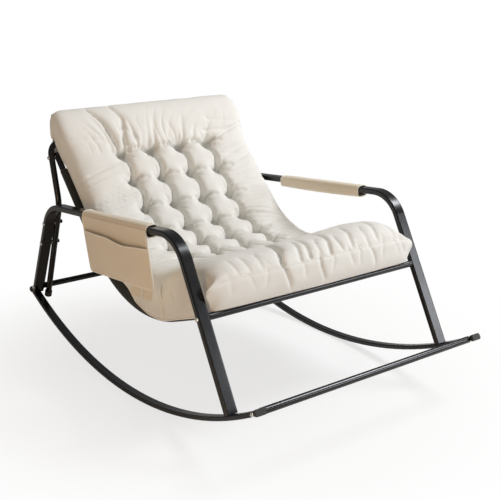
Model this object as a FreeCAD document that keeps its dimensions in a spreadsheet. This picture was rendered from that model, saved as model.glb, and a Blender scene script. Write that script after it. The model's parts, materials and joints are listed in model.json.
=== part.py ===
import FreeCAD, Part
import Sketcher
import math
import os

# Outdoor rocking chair with a tufted cushion, in millimetres.
# The origin is on the floor, midway between the runners, where they touch it at rest.
# +Z is up, the chair faces -Y and the sitter's right hand is on the -X side.

Vector = FreeCAD.Vector
doc = FreeCAD.newDocument("rocking_chair")
sheet = doc.addObject("Spreadsheet::Sheet", "sizes")

# Driving dimensions: name, size in millimetres or degrees, meaning
SIZES = [
    ("overall_width", 920, "over the tubes, from side to side"),
    ("tube_wall", 1.5, "wall of every steel tube"),
    ("rocker_radius", 1500, "radius of the runner's underside"),
    ("rocker_width", 30, "flat tube of the runner, across"),
    ("rocker_thick", 15, "flat tube of the runner, in height"),
    ("rocker_corner", 4, "corner radius of the runner's tube"),
    ("rocker_front_angle", 30.45, "arc from the floor contact to the front end"),
    ("rocker_rear_angle", 27.15, "arc from the floor contact to the rear end"),
    ("boot_wall", 2.8, "wall of the push-on end cap"),
    ("boot_skirt", 9, "how far the end cap reaches over the tube"),
    ("boot_fit", 0.2, "clearance inside the end cap"),
    ("arm_width", 40, "flat tube of the arm arch, across"),
    ("arm_thick", 20, "flat tube of the arm arch, in height"),
    ("arm_corner", 5, "corner radius of the arm tube"),
    ("arm_front_reach", 357.5, "from the contact forward to the corner of arm and front leg"),
    ("arm_front_height", 619.7, "height of that corner, on the tube's axis"),
    ("arm_length", 846.9, "between the arm's two corners"),
    ("arm_fall", 5.31, "slope of the arm, down to the rear"),
    ("front_leg_lean", 28.3, "lean of the front leg from upright"),
    ("rear_leg_lean", 24.7, "lean of the rear leg from upright"),
    ("front_bend", 115, "bend radius at the front of the arm"),
    ("rear_bend", 130, "bend radius at the rear of the arm"),
    ("bar_diameter", 22, "round cross bars"),
    ("front_bar_setback", 21, "from the runner's front end back to the front bar"),
    ("seat_bar_height", 399, "axis of the seat front bar above the floor"),
    ("rear_bar_height", 187, "axis of the rear bar above the floor"),
    ("rail_diameter", 22, "round tube of the seat rails"),
    ("seat_slope", 20, "slope of the seat, down to the rear"),
    ("back_slope", 46.7, "slope of the back from level"),
    ("seat_run", 569.8, "from the seat front bar to the corner of seat and back"),
    ("rail_bend", 480, "bend radius between seat and back"),
    ("rail_tail", 12, "rail beyond the bolt through the hoop"),
    ("top_bar_drop", 75, "from that bolt down the rail to the back top bar"),
    ("hoop_diameter", 22, "round tube of the hoop"),
    ("hoop_lean", 20.8, "lean of the hoop's lower run from upright"),
    ("hoop_knee_height", 536, "height of the hoop's knee"),
    ("hoop_upper_lean", 13.16, "lean of the hoop's upper run from upright, to the rear"),
    ("hoop_rise", 55.5, "hoop's top bar beyond its bolt through the rail"),
    ("hoop_foot_height", 150, "height of the hoop's lower ends"),
    ("hoop_knee_bend", 120, "bend radius at the knee"),
    ("hoop_corner_bend", 46, "bend radius at the top corners"),
    ("hoop_upper_bolt", 468, "height of the upper bolt in the rear leg"),
    ("hoop_lower_bolt", 385, "height of the lower bolt in the rear leg"),
    ("hoop_cap_wall", 2.5, "wall of the hoop's foot cap"),
    ("hoop_cap_skirt", 18, "how far that cap reaches over the tube"),
    ("bolt_diameter", 8, "shank of every bolt"),
    ("bolt_hole_play", 0.4, "clearance on the diameter of a bolt hole"),
    ("drill_overrun", 1, "how far a drill runs past both sides of a tube"),
    ("bolt_head_diameter", 14, "button head"),
    ("bolt_head_height", 5, "button head"),
    ("bolt_head_bevel", 2.5, "bevel of the button head"),
    ("bolt_bite", 18, "length of bolt inside a threaded insert"),
    ("bolt_end", 2, "bolt beyond its nut"),
    ("insert_length", 25, "threaded insert in a bar's end"),
    ("insert_fit", 0.1, "clearance on the radius of the insert"),
    ("nut_width", 15, "hexagon nut over its corners"),
    ("nut_height", 6.5, "hexagon nut"),
    ("spacer_thick", 2, "washer between two tubes"),
    ("spacer_diameter", 17, "washer between two tubes"),
    ("plug_head", 2, "head of a rail's end plug"),
    ("plug_depth", 5, "plug inside the rail"),
    ("contact_gap", 0.3, "between soft pieces, or tubes that only touch"),
    ("sling_thick", 2, "sling cloth"),
    ("sling_wrap", 120, "angle of the sling's edge round the rail"),
    ("sling_front", 12, "from the seat front bar back to the sling's front edge"),
    ("sling_top_drop", 60, "from the hoop's bolt down the rail to the sling's top edge"),
    ("cushion_side_gap", 22, "from the leg to the fullest part of the cushion's side"),
    ("cushion_base_inset", 9, "edge of the underside inside the rail's axis"),
    ("cushion_nose", 42, "cushion ahead of the seat front bar"),
    ("front_seam_height", 92, "front seam above the rail axis"),
    ("knee_height", 173, "crown of the knee roll above the rail axis"),
    ("knee_place", 150, "crown of the knee roll behind the seat front bar"),
    ("seat_height", 148, "crown of the seat at the first tufts, above the rail axis"),
    ("back_height", 118, "crown of the back above the rail axis"),
    ("head_height", 127, "crown of the head roll above the rail axis"),
    ("head_place", 40, "crown of the head roll beyond the hoop's bolt"),
    ("head_end", 124, "end of the head roll beyond the hoop's bolt"),
    ("tuft_first", 520, "first row of tufts behind the seat front bar"),
    ("tuft_last_drop", 81.4, "last row of tufts below the hoop's bolt"),
    ("tuft_column_pitch", 125, "from column to column"),
    ("tuft_depth", 42, "tuft below the crown"),
    ("channel_depth", 20, "crease between two tufts of a column, below the crown"),
    ("puff_rise", 16, "rise of a puff between two columns"),
    ("hood_thick", 3, "hood panel"),
    ("hood_inset", 19, "hood panel's side edge inside the hoop's axis"),
    ("hood_drop", 167, "height of the hood panel"),
    ("sleeve_setback", 150, "from the arm's front corner back to the sleeve"),
    ("sleeve_length", 435, "sleeve along the arm"),
    ("sleeve_cloth", 2, "canvas"),
    ("sleeve_sag", 13, "free space under the arm inside the sleeve"),
    ("sleeve_corner", 7, "corner radius of the sleeve"),
    ("pocket_setback", 138, "from the arm's front corner back to the pocket"),
    ("pocket_length", 407, "pocket along the arm, at its top"),
    ("pocket_slant", 15, "how far the pocket's lower edge is shifted forward"),
    ("pocket_drop", 186, "pocket's lower edge below the arm's axis"),
    ("pocket_top", 13, "pocket's upper edge below the arm's axis"),
    ("mouth_rear_drop", 43, "pocket mouth below the arm's axis, rear"),
    ("mouth_front_drop", 91, "pocket mouth below the arm's axis, front"),
    ("mouth_straight", 170, "straight stretch of the mouth at the rear"),
    ("pocket_depth", 12, "space inside the pocket"),
    ("pocket_border", 6, "sewn border of the pocket"),
    ("tab_width", 40, "webbing tab"),
    ("tab_length", 50, "webbing tab, with its sewn end"),
    ("tab_overlap", 14, "sewn end behind the pocket"),
    ("tab_thick", 1.6, "webbing tab"),
    ("tab_first", 160, "from the arm's front corner to the first tab"),
    ("tab_pitch", 52, "from tab to tab"),
]

for row, (alias, number, meaning) in enumerate(SIZES, start=1):
    sheet.set(f"A{row}", meaning)
    sheet.set(f"B{row}", str(number))
    sheet.setAlias(f"B{row}", alias)
doc.recompute()


class Size:
    """A size with its value now and the expression that keeps it bound to the sheet."""

    def __init__(self, value, text):
        self.value = value
        self.text = text

    def __add__(self, other):
        other = as_size(other)
        return Size(self.value + other.value, f"({self.text} + {other.text})")

    def __sub__(self, other):
        other = as_size(other)
        return Size(self.value - other.value, f"({self.text} - {other.text})")

    def __rsub__(self, other):
        return as_size(other) - self

    def __mul__(self, other):
        other = as_size(other)
        return Size(self.value * other.value, f"({self.text} * {other.text})")

    def __truediv__(self, other):
        other = as_size(other)
        return Size(self.value / other.value, f"({self.text} / {other.text})")

    def __neg__(self):
        return Size(-self.value, f"(-{self.text})")


def as_size(thing):
    if isinstance(thing, Size):
        return thing
    return Size(float(thing), f"({float(thing)!r})")


def sine(angle):
    return Size(math.sin(math.radians(angle.value)), f"sin({angle.text})")


def cosine(angle):
    return Size(math.cos(math.radians(angle.value)), f"cos({angle.text})")


def tangent(angle):
    return sine(angle) / cosine(angle)


NAMED = {alias: Size(float(sheet.get(alias)), f"sizes.{alias}") for alias, number, meaning in SIZES}
VALUE = {alias: size.value for alias, size in NAMED.items()}
ZERO = as_size(0)
RIGHT_ANGLE = as_size(90)
DEGREES_PER_RADIAN = math.degrees(1)
SIDES = (("right", -1), ("left", 1))
X_AXIS = Vector(1, 0, 0)
Y_AXIS = Vector(0, 1, 0)
Z_AXIS = Vector(0, 0, 1)
subparts = []


def bind(owner, prop, size):
    owner.setExpression(prop, as_size(size).text)


def new_body(name):
    body = doc.addObject("PartDesign::Body", name)
    body.Label = name
    return body


def origin_feature(body, role):
    return next(feature for feature in body.Origin.OriginFeatures if feature.Role == role)


def new_sketch(body, name, role):
    sketch = body.newObject("Sketcher::SketchObject", name)
    sketch.AttachmentSupport = (origin_feature(body, role), [""])
    sketch.MapMode = "FlatFace"
    return sketch


def hold(sketch, kind, geometry, point, size):
    """Holds a point of a sketch at a bound distance from the sketch's origin."""
    size = as_size(size)
    index = sketch.addConstraint(Sketcher.Constraint(kind, -1, 1, geometry, point, size.value))
    bind(sketch, f"Constraints[{index}]", size)


def hold_point(sketch, geometry, point, across, up):
    hold(sketch, "DistanceX", geometry, point, across)
    hold(sketch, "DistanceY", geometry, point, up)


def hold_radius(sketch, geometry, size):
    index = sketch.addConstraint(Sketcher.Constraint("Radius", geometry, size.value))
    bind(sketch, f"Constraints[{index}]", size)


def draw_circle(sketch, diameter):
    radius = diameter / 2
    circle = sketch.addGeometry(Part.Circle(Vector(0, 0, 0), Z_AXIS, radius.value))
    sketch.addConstraint(Sketcher.Constraint("Coincident", circle, 3, -1, 1))
    hold_radius(sketch, circle, radius)


def draw_rounded_rectangle(sketch, width, height, corner, middle=ZERO):
    """Rectangle with round corners, centred across and at the given height."""
    half = width.value / 2
    low = middle.value - height.value / 2
    high = middle.value + height.value / 2
    r = corner.value
    ends = [
        (Vector(-half + r, low, 0), Vector(half - r, low, 0)),
        (Vector(half, low + r, 0), Vector(half, high - r, 0)),
        (Vector(half - r, high, 0), Vector(-half + r, high, 0)),
        (Vector(-half, high - r, 0), Vector(-half, low + r, 0)),
    ]
    centres = [
        Vector(half - r, low + r, 0),
        Vector(half - r, high - r, 0),
        Vector(-half + r, high - r, 0),
        Vector(-half + r, low + r, 0),
    ]
    lines = [sketch.addGeometry(Part.LineSegment(start, end)) for start, end in ends]
    arcs = []
    for quarter, centre in enumerate(centres):
        start = (quarter - 1) * math.pi / 2
        arc = Part.ArcOfCircle(Part.Circle(centre, Z_AXIS, r), start, start + math.pi / 2)
        arcs.append(sketch.addGeometry(arc))
    for here in range(4):
        following = lines[(here + 1) % 4]
        sketch.addConstraint(Sketcher.Constraint("Tangent", lines[here], 2, arcs[here], 1))
        sketch.addConstraint(Sketcher.Constraint("Tangent", arcs[here], 2, following, 1))
        sketch.addConstraint(Sketcher.Constraint("Horizontal" if here % 2 == 0 else "Vertical", lines[here]))
        if here > 0:
            sketch.addConstraint(Sketcher.Constraint("Equal", arcs[0], arcs[here]))
    hold_radius(sketch, arcs[0], corner)
    hold(sketch, "DistanceY", lines[0], 1, middle - height / 2)
    hold(sketch, "DistanceY", lines[2], 1, middle + height / 2)
    hold(sketch, "DistanceX", lines[1], 1, width / 2)
    hold(sketch, "DistanceX", lines[3], 1, -(width / 2))


def draw_bore(sketch, width, height, wall, middle=ZERO):
    """Inside of a flat tube, with sharp corners."""
    across = width / 2 - wall
    low = middle - height / 2 + wall
    high = middle + height / 2 - wall
    draw_outline(sketch, [(-across, low), (across, low), (across, high), (-across, high)])


def arc_between(start, end, centre, turns_left):
    """Arc of a sketch from start to end, with the numbers of its two ends in that order."""
    radius = (start - centre).Length
    first, last = (start, end) if turns_left else (end, start)
    angles = [math.atan2(p.y - centre.y, p.x - centre.x) for p in (first, last)]
    if angles[1] < angles[0]:
        angles[1] += 2 * math.pi
    arc = Part.ArcOfCircle(Part.Circle(centre, Z_AXIS, radius), angles[0], angles[1])
    return arc, (1, 2) if turns_left else (2, 1)


def draw_outline(sketch, vertices, arcs=None):
    """Closed outline through held vertices. arcs: start vertex -> (centre, radius, turns left)."""
    arcs = arcs or {}
    places = [Vector(across.value, up.value, 0) for across, up in vertices]
    pieces = []
    for here, start in enumerate(places):
        end = places[(here + 1) % len(places)]
        if here in arcs:
            centre, radius, turns_left = arcs[here]
            middle = Vector(centre[0].value, centre[1].value, 0)
            arc, ends = arc_between(start, end, middle, turns_left)
            piece = sketch.addGeometry(arc)
            hold_radius(sketch, piece, radius)
        else:
            ends = (1, 2)
            piece = sketch.addGeometry(Part.LineSegment(start, end))
        pieces.append((piece, ends))
    for here, (piece, ends) in enumerate(pieces):
        following, following_ends = pieces[(here + 1) % len(pieces)]
        sketch.addConstraint(Sketcher.Constraint("Coincident", piece, ends[1], following, following_ends[0]))
        hold_point(sketch, piece, ends[0], *vertices[here])


def draw_path(sketch, corners, bends):
    """Tube axis: straight runs from corner to corner, with a bend radius at each inner corner."""
    places = [Vector(across.value, up.value, 0) for across, up in corners]
    runs = [(end - start).normalize() for start, end in zip(places, places[1:])]
    starts = list(places[:-1])
    ends = list(places[1:])
    curves = []
    for here, bend in enumerate(bends):
        before, after = runs[here], runs[here + 1]
        trim = bend.value * math.tan(before.getAngle(after) / 2)
        ends[here] = places[here + 1] - before * trim
        starts[here + 1] = places[here + 1] + after * trim
        turns_left = before.cross(after).z > 0
        inward = Z_AXIS.cross(before) * (1 if turns_left else -1)
        centre = ends[here] + inward * bend.value
        curves.append(arc_between(ends[here], starts[here + 1], centre, turns_left))
    lines = [sketch.addGeometry(Part.LineSegment(start, end)) for start, end in zip(starts, ends)]
    for here, (arc, (first, last)) in enumerate(curves):
        curve = sketch.addGeometry(arc)
        corner = sketch.addGeometry(Part.Point(places[here + 1]), True)
        hold_point(sketch, corner, 1, *corners[here + 1])
        sketch.addConstraint(Sketcher.Constraint("PointOnObject", corner, 1, lines[here]))
        sketch.addConstraint(Sketcher.Constraint("PointOnObject", corner, 1, lines[here + 1]))
        sketch.addConstraint(Sketcher.Constraint("Tangent", lines[here], 2, curve, first))
        sketch.addConstraint(Sketcher.Constraint("Tangent", curve, last, lines[here + 1], 1))
        hold_radius(sketch, curve, bends[here])
    hold_point(sketch, lines[0], 1, *corners[0])
    hold_point(sketch, lines[-1], 2, *corners[-1])


def add_pipe(body, path, section):
    """Sweeps a section along a path of the same body."""
    doc.recompute()
    pipe = body.newObject("PartDesign::AdditivePipe", f"{body.Name}_pipe")
    pipe.Profile = section
    pipe.Spine = (path, [f"Edge{edge + 1}" for edge in range(len(path.Shape.Edges))])
    return pipe


def add_pad(body, sketch, length, outward=True):
    pad = body.newObject("PartDesign::Pad", f"{sketch.Name}_pad")
    pad.Profile = sketch
    pad.Reversed = not outward
    bind(pad, "Length", length)
    return pad


def add_turn(body, kind, sketch, angle):
    """Revolves a sketch about the body's X axis, to add or to cut."""
    turn = body.newObject(f"PartDesign::{kind}", f"{sketch.Name}_turn")
    turn.Profile = sketch
    turn.ReferenceAxis = (origin_feature(body, "X_Axis"), [""])
    bind(turn, "Angle", angle)
    return turn


def ring_body(name, outer, inner, length):
    """Round tube or washer along the body's Z axis."""
    body = new_body(name)
    sketch = new_sketch(body, f"{name}_section", "XY_Plane")
    draw_circle(sketch, outer)
    draw_circle(sketch, inner)
    add_pad(body, sketch, length)
    return body


def keep(thing, label):
    thing.Label = label
    subparts.append(thing)
    return thing


def along_x(x, y, z, toward=1):
    """Placement whose Z axis points along +X or -X from the given point."""
    return FreeCAD.Placement(Vector(x, y, z), FreeCAD.Rotation(Y_AXIS, 90 * toward))


def tilted(x, y, z, angle):
    """Placement turned about the X axis."""
    return FreeCAD.Placement(Vector(x, y, z), FreeCAD.Rotation(X_AXIS, angle))


def add_rod(name, diameter, length, place):
    rod = doc.addObject("Part::Cylinder", name)
    bind(rod, "Radius", diameter / 2)
    bind(rod, "Height", length)
    rod.Placement = place
    return rod


def add_drill(name, width, x, spot):
    """Drill for a bolt through a tube of the given width whose middle is at x."""
    over = NAMED["drill_overrun"]
    start = x - width.value / 2 - over.value
    return add_rod(name, bolt_hole, width + over * 2, along_x(start, spot.y, spot.z))


def cut_away(label, base, tools):
    """A piece with one or more tools cut out of it."""
    tool = tools[0]
    if len(tools) > 1:
        tool = doc.addObject("Part::Compound", f"{label}_tools")
        tool.Links = tools
    cut = doc.addObject("Part::Cut", label)
    cut.Base = base
    cut.Tool = tool
    return cut


def keep_group(label, seed, places):
    """One node with a copy of the seed's solid at every place."""
    doc.recompute()
    group = doc.addObject("Part::Feature", label)
    copies = []
    for place in places:
        copy = seed.Shape.copy()
        copy.Placement = place.multiply(seed.Shape.Placement)
        copies.append(copy)
    group.Shape = Part.makeCompound(copies)
    return keep(group, label)


# Places that several pieces share, worked out from the driving dimensions
half_width = VALUE["overall_width"] / 2
rocker_x = half_width - VALUE["rocker_width"] / 2
arm_x = half_width - VALUE["arm_width"] / 2
leg_inner_x = half_width - VALUE["arm_width"]
rocker_inner_x = half_width - VALUE["rocker_width"]
hoop_x = leg_inner_x - VALUE["spacer_thick"] - VALUE["hoop_diameter"] / 2
rail_x = hoop_x - (VALUE["hoop_diameter"] + VALUE["rail_diameter"]) / 2 - VALUE["spacer_thick"]
arc_centre = Vector(0, 0, VALUE["rocker_radius"])
arm_corner_point = Vector(0, -VALUE["arm_front_reach"], VALUE["arm_front_height"])


def slope(angle):
    """Unit vector in the side view: 0 points to the rear, 90 points up."""
    return Vector(0, math.cos(math.radians(angle)), math.sin(math.radians(angle)))


def at_height(point, direction, height):
    """Where the line through a point reaches a height."""
    return point + direction * ((height - point.z) / direction.z)


arm_rear_point = arm_corner_point + slope(-VALUE["arm_fall"]) * VALUE["arm_length"]
front_leg_up = slope(90 - VALUE["front_leg_lean"])
rear_leg_up = slope(90 + VALUE["rear_leg_lean"])
seat_bar = at_height(arm_corner_point, front_leg_up, VALUE["seat_bar_height"])
rear_bar = at_height(arm_rear_point, rear_leg_up, VALUE["rear_bar_height"])
rocker_axis_radius = VALUE["rocker_radius"] - VALUE["rocker_thick"] / 2
front_bar_angle = VALUE["rocker_front_angle"] - math.degrees(VALUE["front_bar_setback"] / rocker_axis_radius)
front_bar = arc_centre + slope(-90 - front_bar_angle) * rocker_axis_radius

# Runner
rocker_span = NAMED["rocker_front_angle"] + NAMED["rocker_rear_angle"]
rocker_middle = NAMED["rocker_thick"] / 2 - NAMED["rocker_radius"]
bolt_hole = NAMED["bolt_diameter"] + NAMED["bolt_hole_play"]


def rocker_length(name, start, span):
    """Stretch of the runner's tube, from an angle behind its front end."""
    body = new_body(name)
    section = new_sketch(body, f"{name}_section", "XZ_Plane")
    draw_rounded_rectangle(section, NAMED["rocker_width"], NAMED["rocker_thick"],
                           NAMED["rocker_corner"], rocker_middle)
    draw_bore(section, NAMED["rocker_width"], NAMED["rocker_thick"], NAMED["tube_wall"], rocker_middle)
    add_turn(body, "Revolution", section, span)
    return body, start.value - VALUE["rocker_front_angle"]


def make_rocker(side, sign):
    degrees = as_size(DEGREES_PER_RADIAN) / (NAMED["rocker_radius"] - NAMED["rocker_thick"] / 2)
    front_span = NAMED["front_bar_setback"] * 2 * degrees
    front, front_tilt = rocker_length(f"{side}_rocker_front", ZERO, front_span)
    rest, rest_tilt = rocker_length(f"{side}_rocker_rest", front_span, rocker_span - front_span)
    front.Placement = tilted(sign * rocker_x, 0, arc_centre.z, front_tilt)
    rest.Placement = tilted(sign * rocker_x, 0, arc_centre.z, rest_tilt)
    drill = add_drill(f"{side}_rocker_drill", NAMED["rocker_width"], sign * rocker_x, front_bar)
    tube = doc.addObject("Part::Fuse", f"{side}_rocker")
    tube.Base = cut_away(f"{side}_rocker_drilled", front, [drill])
    tube.Tool = rest
    tube.Refine = False
    keep(tube, f"{side}_rocker")


def make_rocker_end_caps():
    body = new_body("end_cap")
    fit = NAMED["boot_fit"] * 2
    jacket = NAMED["boot_wall"] * 2 + fit
    degrees = as_size(DEGREES_PER_RADIAN) / (NAMED["rocker_radius"] - NAMED["rocker_thick"] / 2)
    skirt_angle = NAMED["boot_skirt"] * degrees
    outside = new_sketch(body, "end_cap_outside", "XZ_Plane")
    draw_rounded_rectangle(outside, NAMED["rocker_width"] + jacket, NAMED["rocker_thick"] + jacket,
                           NAMED["rocker_corner"] + jacket / 2, rocker_middle)
    add_turn(body, "Revolution", outside, skirt_angle + NAMED["boot_wall"] * degrees)
    inside = new_sketch(body, "end_cap_inside", "XZ_Plane")
    draw_rounded_rectangle(inside, NAMED["rocker_width"] + fit, NAMED["rocker_thick"] + fit,
                           NAMED["rocker_corner"] + fit / 2, rocker_middle)
    doc.recompute()
    full = body.Shape.Volume
    add_turn(body, "Groove", inside, skirt_angle)
    doc.recompute()
    if body.Shape.Volume >= full:
        raise RuntimeError("the end cap is not hollow")
    places = []
    for side, sign in SIDES:
        front = FreeCAD.Rotation(X_AXIS, VALUE["rocker_front_angle"] - skirt_angle.value)
        rear = FreeCAD.Rotation(X_AXIS, VALUE["rocker_rear_angle"] - skirt_angle.value)
        about = FreeCAD.Rotation(Z_AXIS, 180)
        base = Vector(sign * rocker_x, 0, arc_centre.z)
        places.append(FreeCAD.Placement(base, about.multiply(front)))
        places.append(FreeCAD.Placement(base, rear))
    keep_group("rocker_end_caps", body, places)


# Arm arch: front leg, arm and rear leg in one tube, cut off flush on the runner
def make_arm_arch(side, sign):
    body = new_body(f"{side}_arch_tube")
    path = new_sketch(body, f"{side}_arch_path", "YZ_Plane")
    lean = NAMED["front_leg_lean"]
    arm_angle = lean - NAMED["arm_fall"]
    rear_angle = lean + NAMED["rear_leg_lean"] - RIGHT_ANGLE
    front_length = NAMED["arm_front_height"] / cosine(lean)
    rear_height = NAMED["arm_front_height"] - NAMED["arm_length"] * sine(NAMED["arm_fall"])
    rear_length = rear_height / cosine(NAMED["rear_leg_lean"])
    arm_across = NAMED["arm_length"] * cosine(arm_angle)
    arm_up = front_length + NAMED["arm_length"] * sine(arm_angle)
    corners = [
        (ZERO, ZERO),
        (ZERO, front_length),
        (arm_across, arm_up),
        (arm_across + rear_length * cosine(rear_angle), arm_up + rear_length * sine(rear_angle)),
    ]
    draw_path(path, corners, [NAMED["front_bend"], NAMED["rear_bend"]])
    section = new_sketch(body, f"{side}_arch_section", "XY_Plane")
    draw_rounded_rectangle(section, NAMED["arm_width"], NAMED["arm_thick"], NAMED["arm_corner"])
    draw_bore(section, NAMED["arm_width"], NAMED["arm_thick"], NAMED["tube_wall"])
    add_pipe(body, path, section)
    foot = arm_corner_point - front_leg_up * front_length.value
    body.Placement = tilted(sign * arm_x, foot.y, foot.z, -VALUE["front_leg_lean"])
    inside = add_rod(f"{side}_runner_top", (NAMED["rocker_radius"] - NAMED["rocker_thick"]) * 2,
                     NAMED["overall_width"], along_x(-half_width, 0, arc_centre.z))
    seated = doc.addObject("Part::Common", f"{side}_arch_seated")
    seated.Base = body
    seated.Tool = inside
    drills = []
    for spot in [seat_bar, rear_bar] + hoop_leg_bolts:
        name = f"{side}_arch_drill_{len(drills) + 1}"
        drills.append(add_drill(name, NAMED["arm_width"], sign * arm_x, spot))
    keep(cut_away(f"{side}_arm_arch", seated, drills), f"{side}_arm_arch")


# Cross bars with a threaded insert in each end
def make_bar(label, axis, reach):
    inner = NAMED["bar_diameter"] - NAMED["tube_wall"] * 2
    body = ring_body(label, NAMED["bar_diameter"], inner, reach * 2)
    body.Placement = along_x(-reach.value, axis.y, axis.z)
    keep(body, label)


leg_reach = NAMED["overall_width"] / 2 - NAMED["arm_width"]
rocker_reach = NAMED["overall_width"] / 2 - NAMED["rocker_width"]
bars = [(front_bar, rocker_inner_x), (seat_bar, leg_inner_x), (rear_bar, leg_inner_x)]



def rail_back_run():
    """Length of the back from its corner with the seat up to the hoop's upper run."""
    arm_fall, arm_length = NAMED["arm_fall"], NAMED["arm_length"]
    arm_rear = arm_length * cosine(arm_fall) - NAMED["arm_front_reach"]
    arm_rear_height = NAMED["arm_front_height"] - arm_length * sine(arm_fall)
    rear = arm_rear - (NAMED["rear_bar_height"] - arm_rear_height) * tangent(NAMED["rear_leg_lean"])
    lean, upper = NAMED["hoop_lean"], NAMED["hoop_upper_lean"]
    stand_off = (NAMED["bar_diameter"] + NAMED["hoop_diameter"]) / 2 + NAMED["contact_gap"]
    touch_height = NAMED["rear_bar_height"] - stand_off * sine(lean)
    knee = rear - stand_off * cosine(lean) - (NAMED["hoop_knee_height"] - touch_height) * tangent(lean)
    leg_drop = NAMED["arm_front_height"] - NAMED["seat_bar_height"]
    front = -NAMED["arm_front_reach"] - leg_drop * tangent(NAMED["front_leg_lean"])
    corner = front + NAMED["seat_run"] * cosine(NAMED["seat_slope"])
    corner_height = NAMED["seat_bar_height"] - NAMED["seat_run"] * sine(NAMED["seat_slope"])
    rise = NAMED["hoop_knee_height"] - corner_height
    return ((knee - corner) * cosine(upper) - rise * sine(upper)) / cosine(NAMED["back_slope"] + upper)


# Seat rail: seat, curve and back in one tube, coped to the seat front bar
back_run = rail_back_run()
turn = VALUE["seat_slope"] + VALUE["back_slope"]
rail_trim = VALUE["rail_bend"] * math.tan(math.radians(turn / 2))
seat_straight = VALUE["seat_run"] - rail_trim
curve_length = VALUE["rail_bend"] * math.radians(turn)
bolt_s = seat_straight + curve_length + back_run.value - rail_trim
curve_centre = seat_bar + slope(-VALUE["seat_slope"]) * seat_straight
curve_centre += slope(90 - VALUE["seat_slope"]) * VALUE["rail_bend"]


def rail_frame(s):
    """Point, direction and upward normal of the rail's axis at a length from the seat front bar."""
    bent = (s - seat_straight) / curve_length * turn
    angle = min(max(bent, 0), turn) - VALUE["seat_slope"]
    point = curve_centre - slope(angle + 90) * VALUE["rail_bend"]
    if s < seat_straight:
        point += slope(angle) * (s - seat_straight)
    if s > seat_straight + curve_length:
        point += slope(angle) * (s - seat_straight - curve_length)
    return point, slope(angle), slope(angle + 90)


rail_bolt, back_up, back_normal = rail_frame(bolt_s)
top_bar = rail_frame(bolt_s - VALUE["top_bar_drop"])[0]
rail_bore = NAMED["rail_diameter"] - NAMED["tube_wall"] * 2


def rail_path(body, start, finish):
    """Rail axis in a body whose Z axis points down the seat: start and finish are its two ends."""
    path = new_sketch(body, f"{body.Name}_path", "YZ_Plane")
    bend_angle = NAMED["seat_slope"] + NAMED["back_slope"]
    corner = NAMED["seat_run"]
    far = back_run + finish
    corners = [
        (ZERO, start),
        (ZERO, corner),
        (-(far * sine(bend_angle)), corner + far * cosine(bend_angle)),
    ]
    draw_path(path, corners, [NAMED["rail_bend"]])
    return path


def rail_place(x):
    return tilted(x, seat_bar.y, seat_bar.z, -90 - VALUE["seat_slope"])


def make_seat_rail(side, sign):
    body = new_body(f"{side}_rail_tube")
    path = rail_path(body, ZERO, NAMED["rail_tail"])
    section = new_sketch(body, f"{side}_rail_section", "XY_Plane")
    draw_circle(section, NAMED["rail_diameter"])
    draw_circle(section, rail_bore)
    add_pipe(body, path, section)
    body.Placement = rail_place(sign * rail_x)
    bar = add_rod(f"{side}_rail_cope", NAMED["bar_diameter"], leg_reach * 2,
                  along_x(-leg_inner_x, seat_bar.y, seat_bar.z))
    drill = add_drill(f"{side}_rail_drill", NAMED["rail_diameter"], sign * rail_x, rail_bolt)
    keep(cut_away(f"{side}_seat_rail", body, [bar, drill]), f"{side}_seat_rail")


def make_rail_end_plugs():
    body = new_body("rail_plug")
    head = new_sketch(body, "rail_plug_head", "XY_Plane")
    draw_circle(head, NAMED["rail_diameter"])
    add_pad(body, head, NAMED["plug_head"])
    stem = new_sketch(body, "rail_plug_stem", "XY_Plane")
    draw_circle(stem, rail_bore - NAMED["insert_fit"] * 2)
    add_pad(body, stem, NAMED["plug_depth"], outward=False)
    end = rail_frame(bolt_s + VALUE["rail_tail"])[0]
    places = [tilted(sign * rail_x, end.y, end.z, VALUE["back_slope"] - 90) for side, sign in SIDES]
    keep_group("rail_end_plugs", body, places)


def make_back_top_bar():
    bore = NAMED["bar_diameter"] - NAMED["tube_wall"] * 2
    body = ring_body("top_bar_tube", NAMED["bar_diameter"], bore, as_size(rail_x * 2))
    body.Placement = along_x(-rail_x, top_bar.y, top_bar.z)
    tools = []
    for side, sign in SIDES:
        start = top_bar - back_up * VALUE["rail_diameter"] * 2
        place = tilted(sign * rail_x, start.y, start.z, VALUE["back_slope"] - 90)
        length = NAMED["rail_diameter"] * 4
        tools.append(add_rod(f"{side}_top_bar_cope", NAMED["rail_diameter"], length, place))
    keep(cut_away("back_top_bar", body, tools), "back_top_bar")


# Hoop: lower runs lie on the rear bar, upper runs lead through the rails' bolts to the top bar
hoop_down = slope(-90 + VALUE["hoop_lean"])
hoop_stand_off = (VALUE["bar_diameter"] + VALUE["hoop_diameter"]) / 2 + VALUE["contact_gap"]
hoop_touch = rear_bar - slope(VALUE["hoop_lean"]) * hoop_stand_off
hoop_foot = at_height(hoop_touch, hoop_down, VALUE["hoop_foot_height"])
hoop_knee = at_height(hoop_touch, hoop_down, VALUE["hoop_knee_height"])
hoop_up = (rail_bolt - hoop_knee).normalize()
hoop_top = rail_bolt + hoop_up * VALUE["hoop_rise"]
hoop_leg_bolts = []
for height in (VALUE["hoop_upper_bolt"], VALUE["hoop_lower_bolt"]):
    on_hoop = at_height(hoop_touch, hoop_down, height)
    on_leg = at_height(arm_rear_point, rear_leg_up, height)
    hoop_leg_bolts.append((on_hoop + on_leg) / 2)


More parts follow.
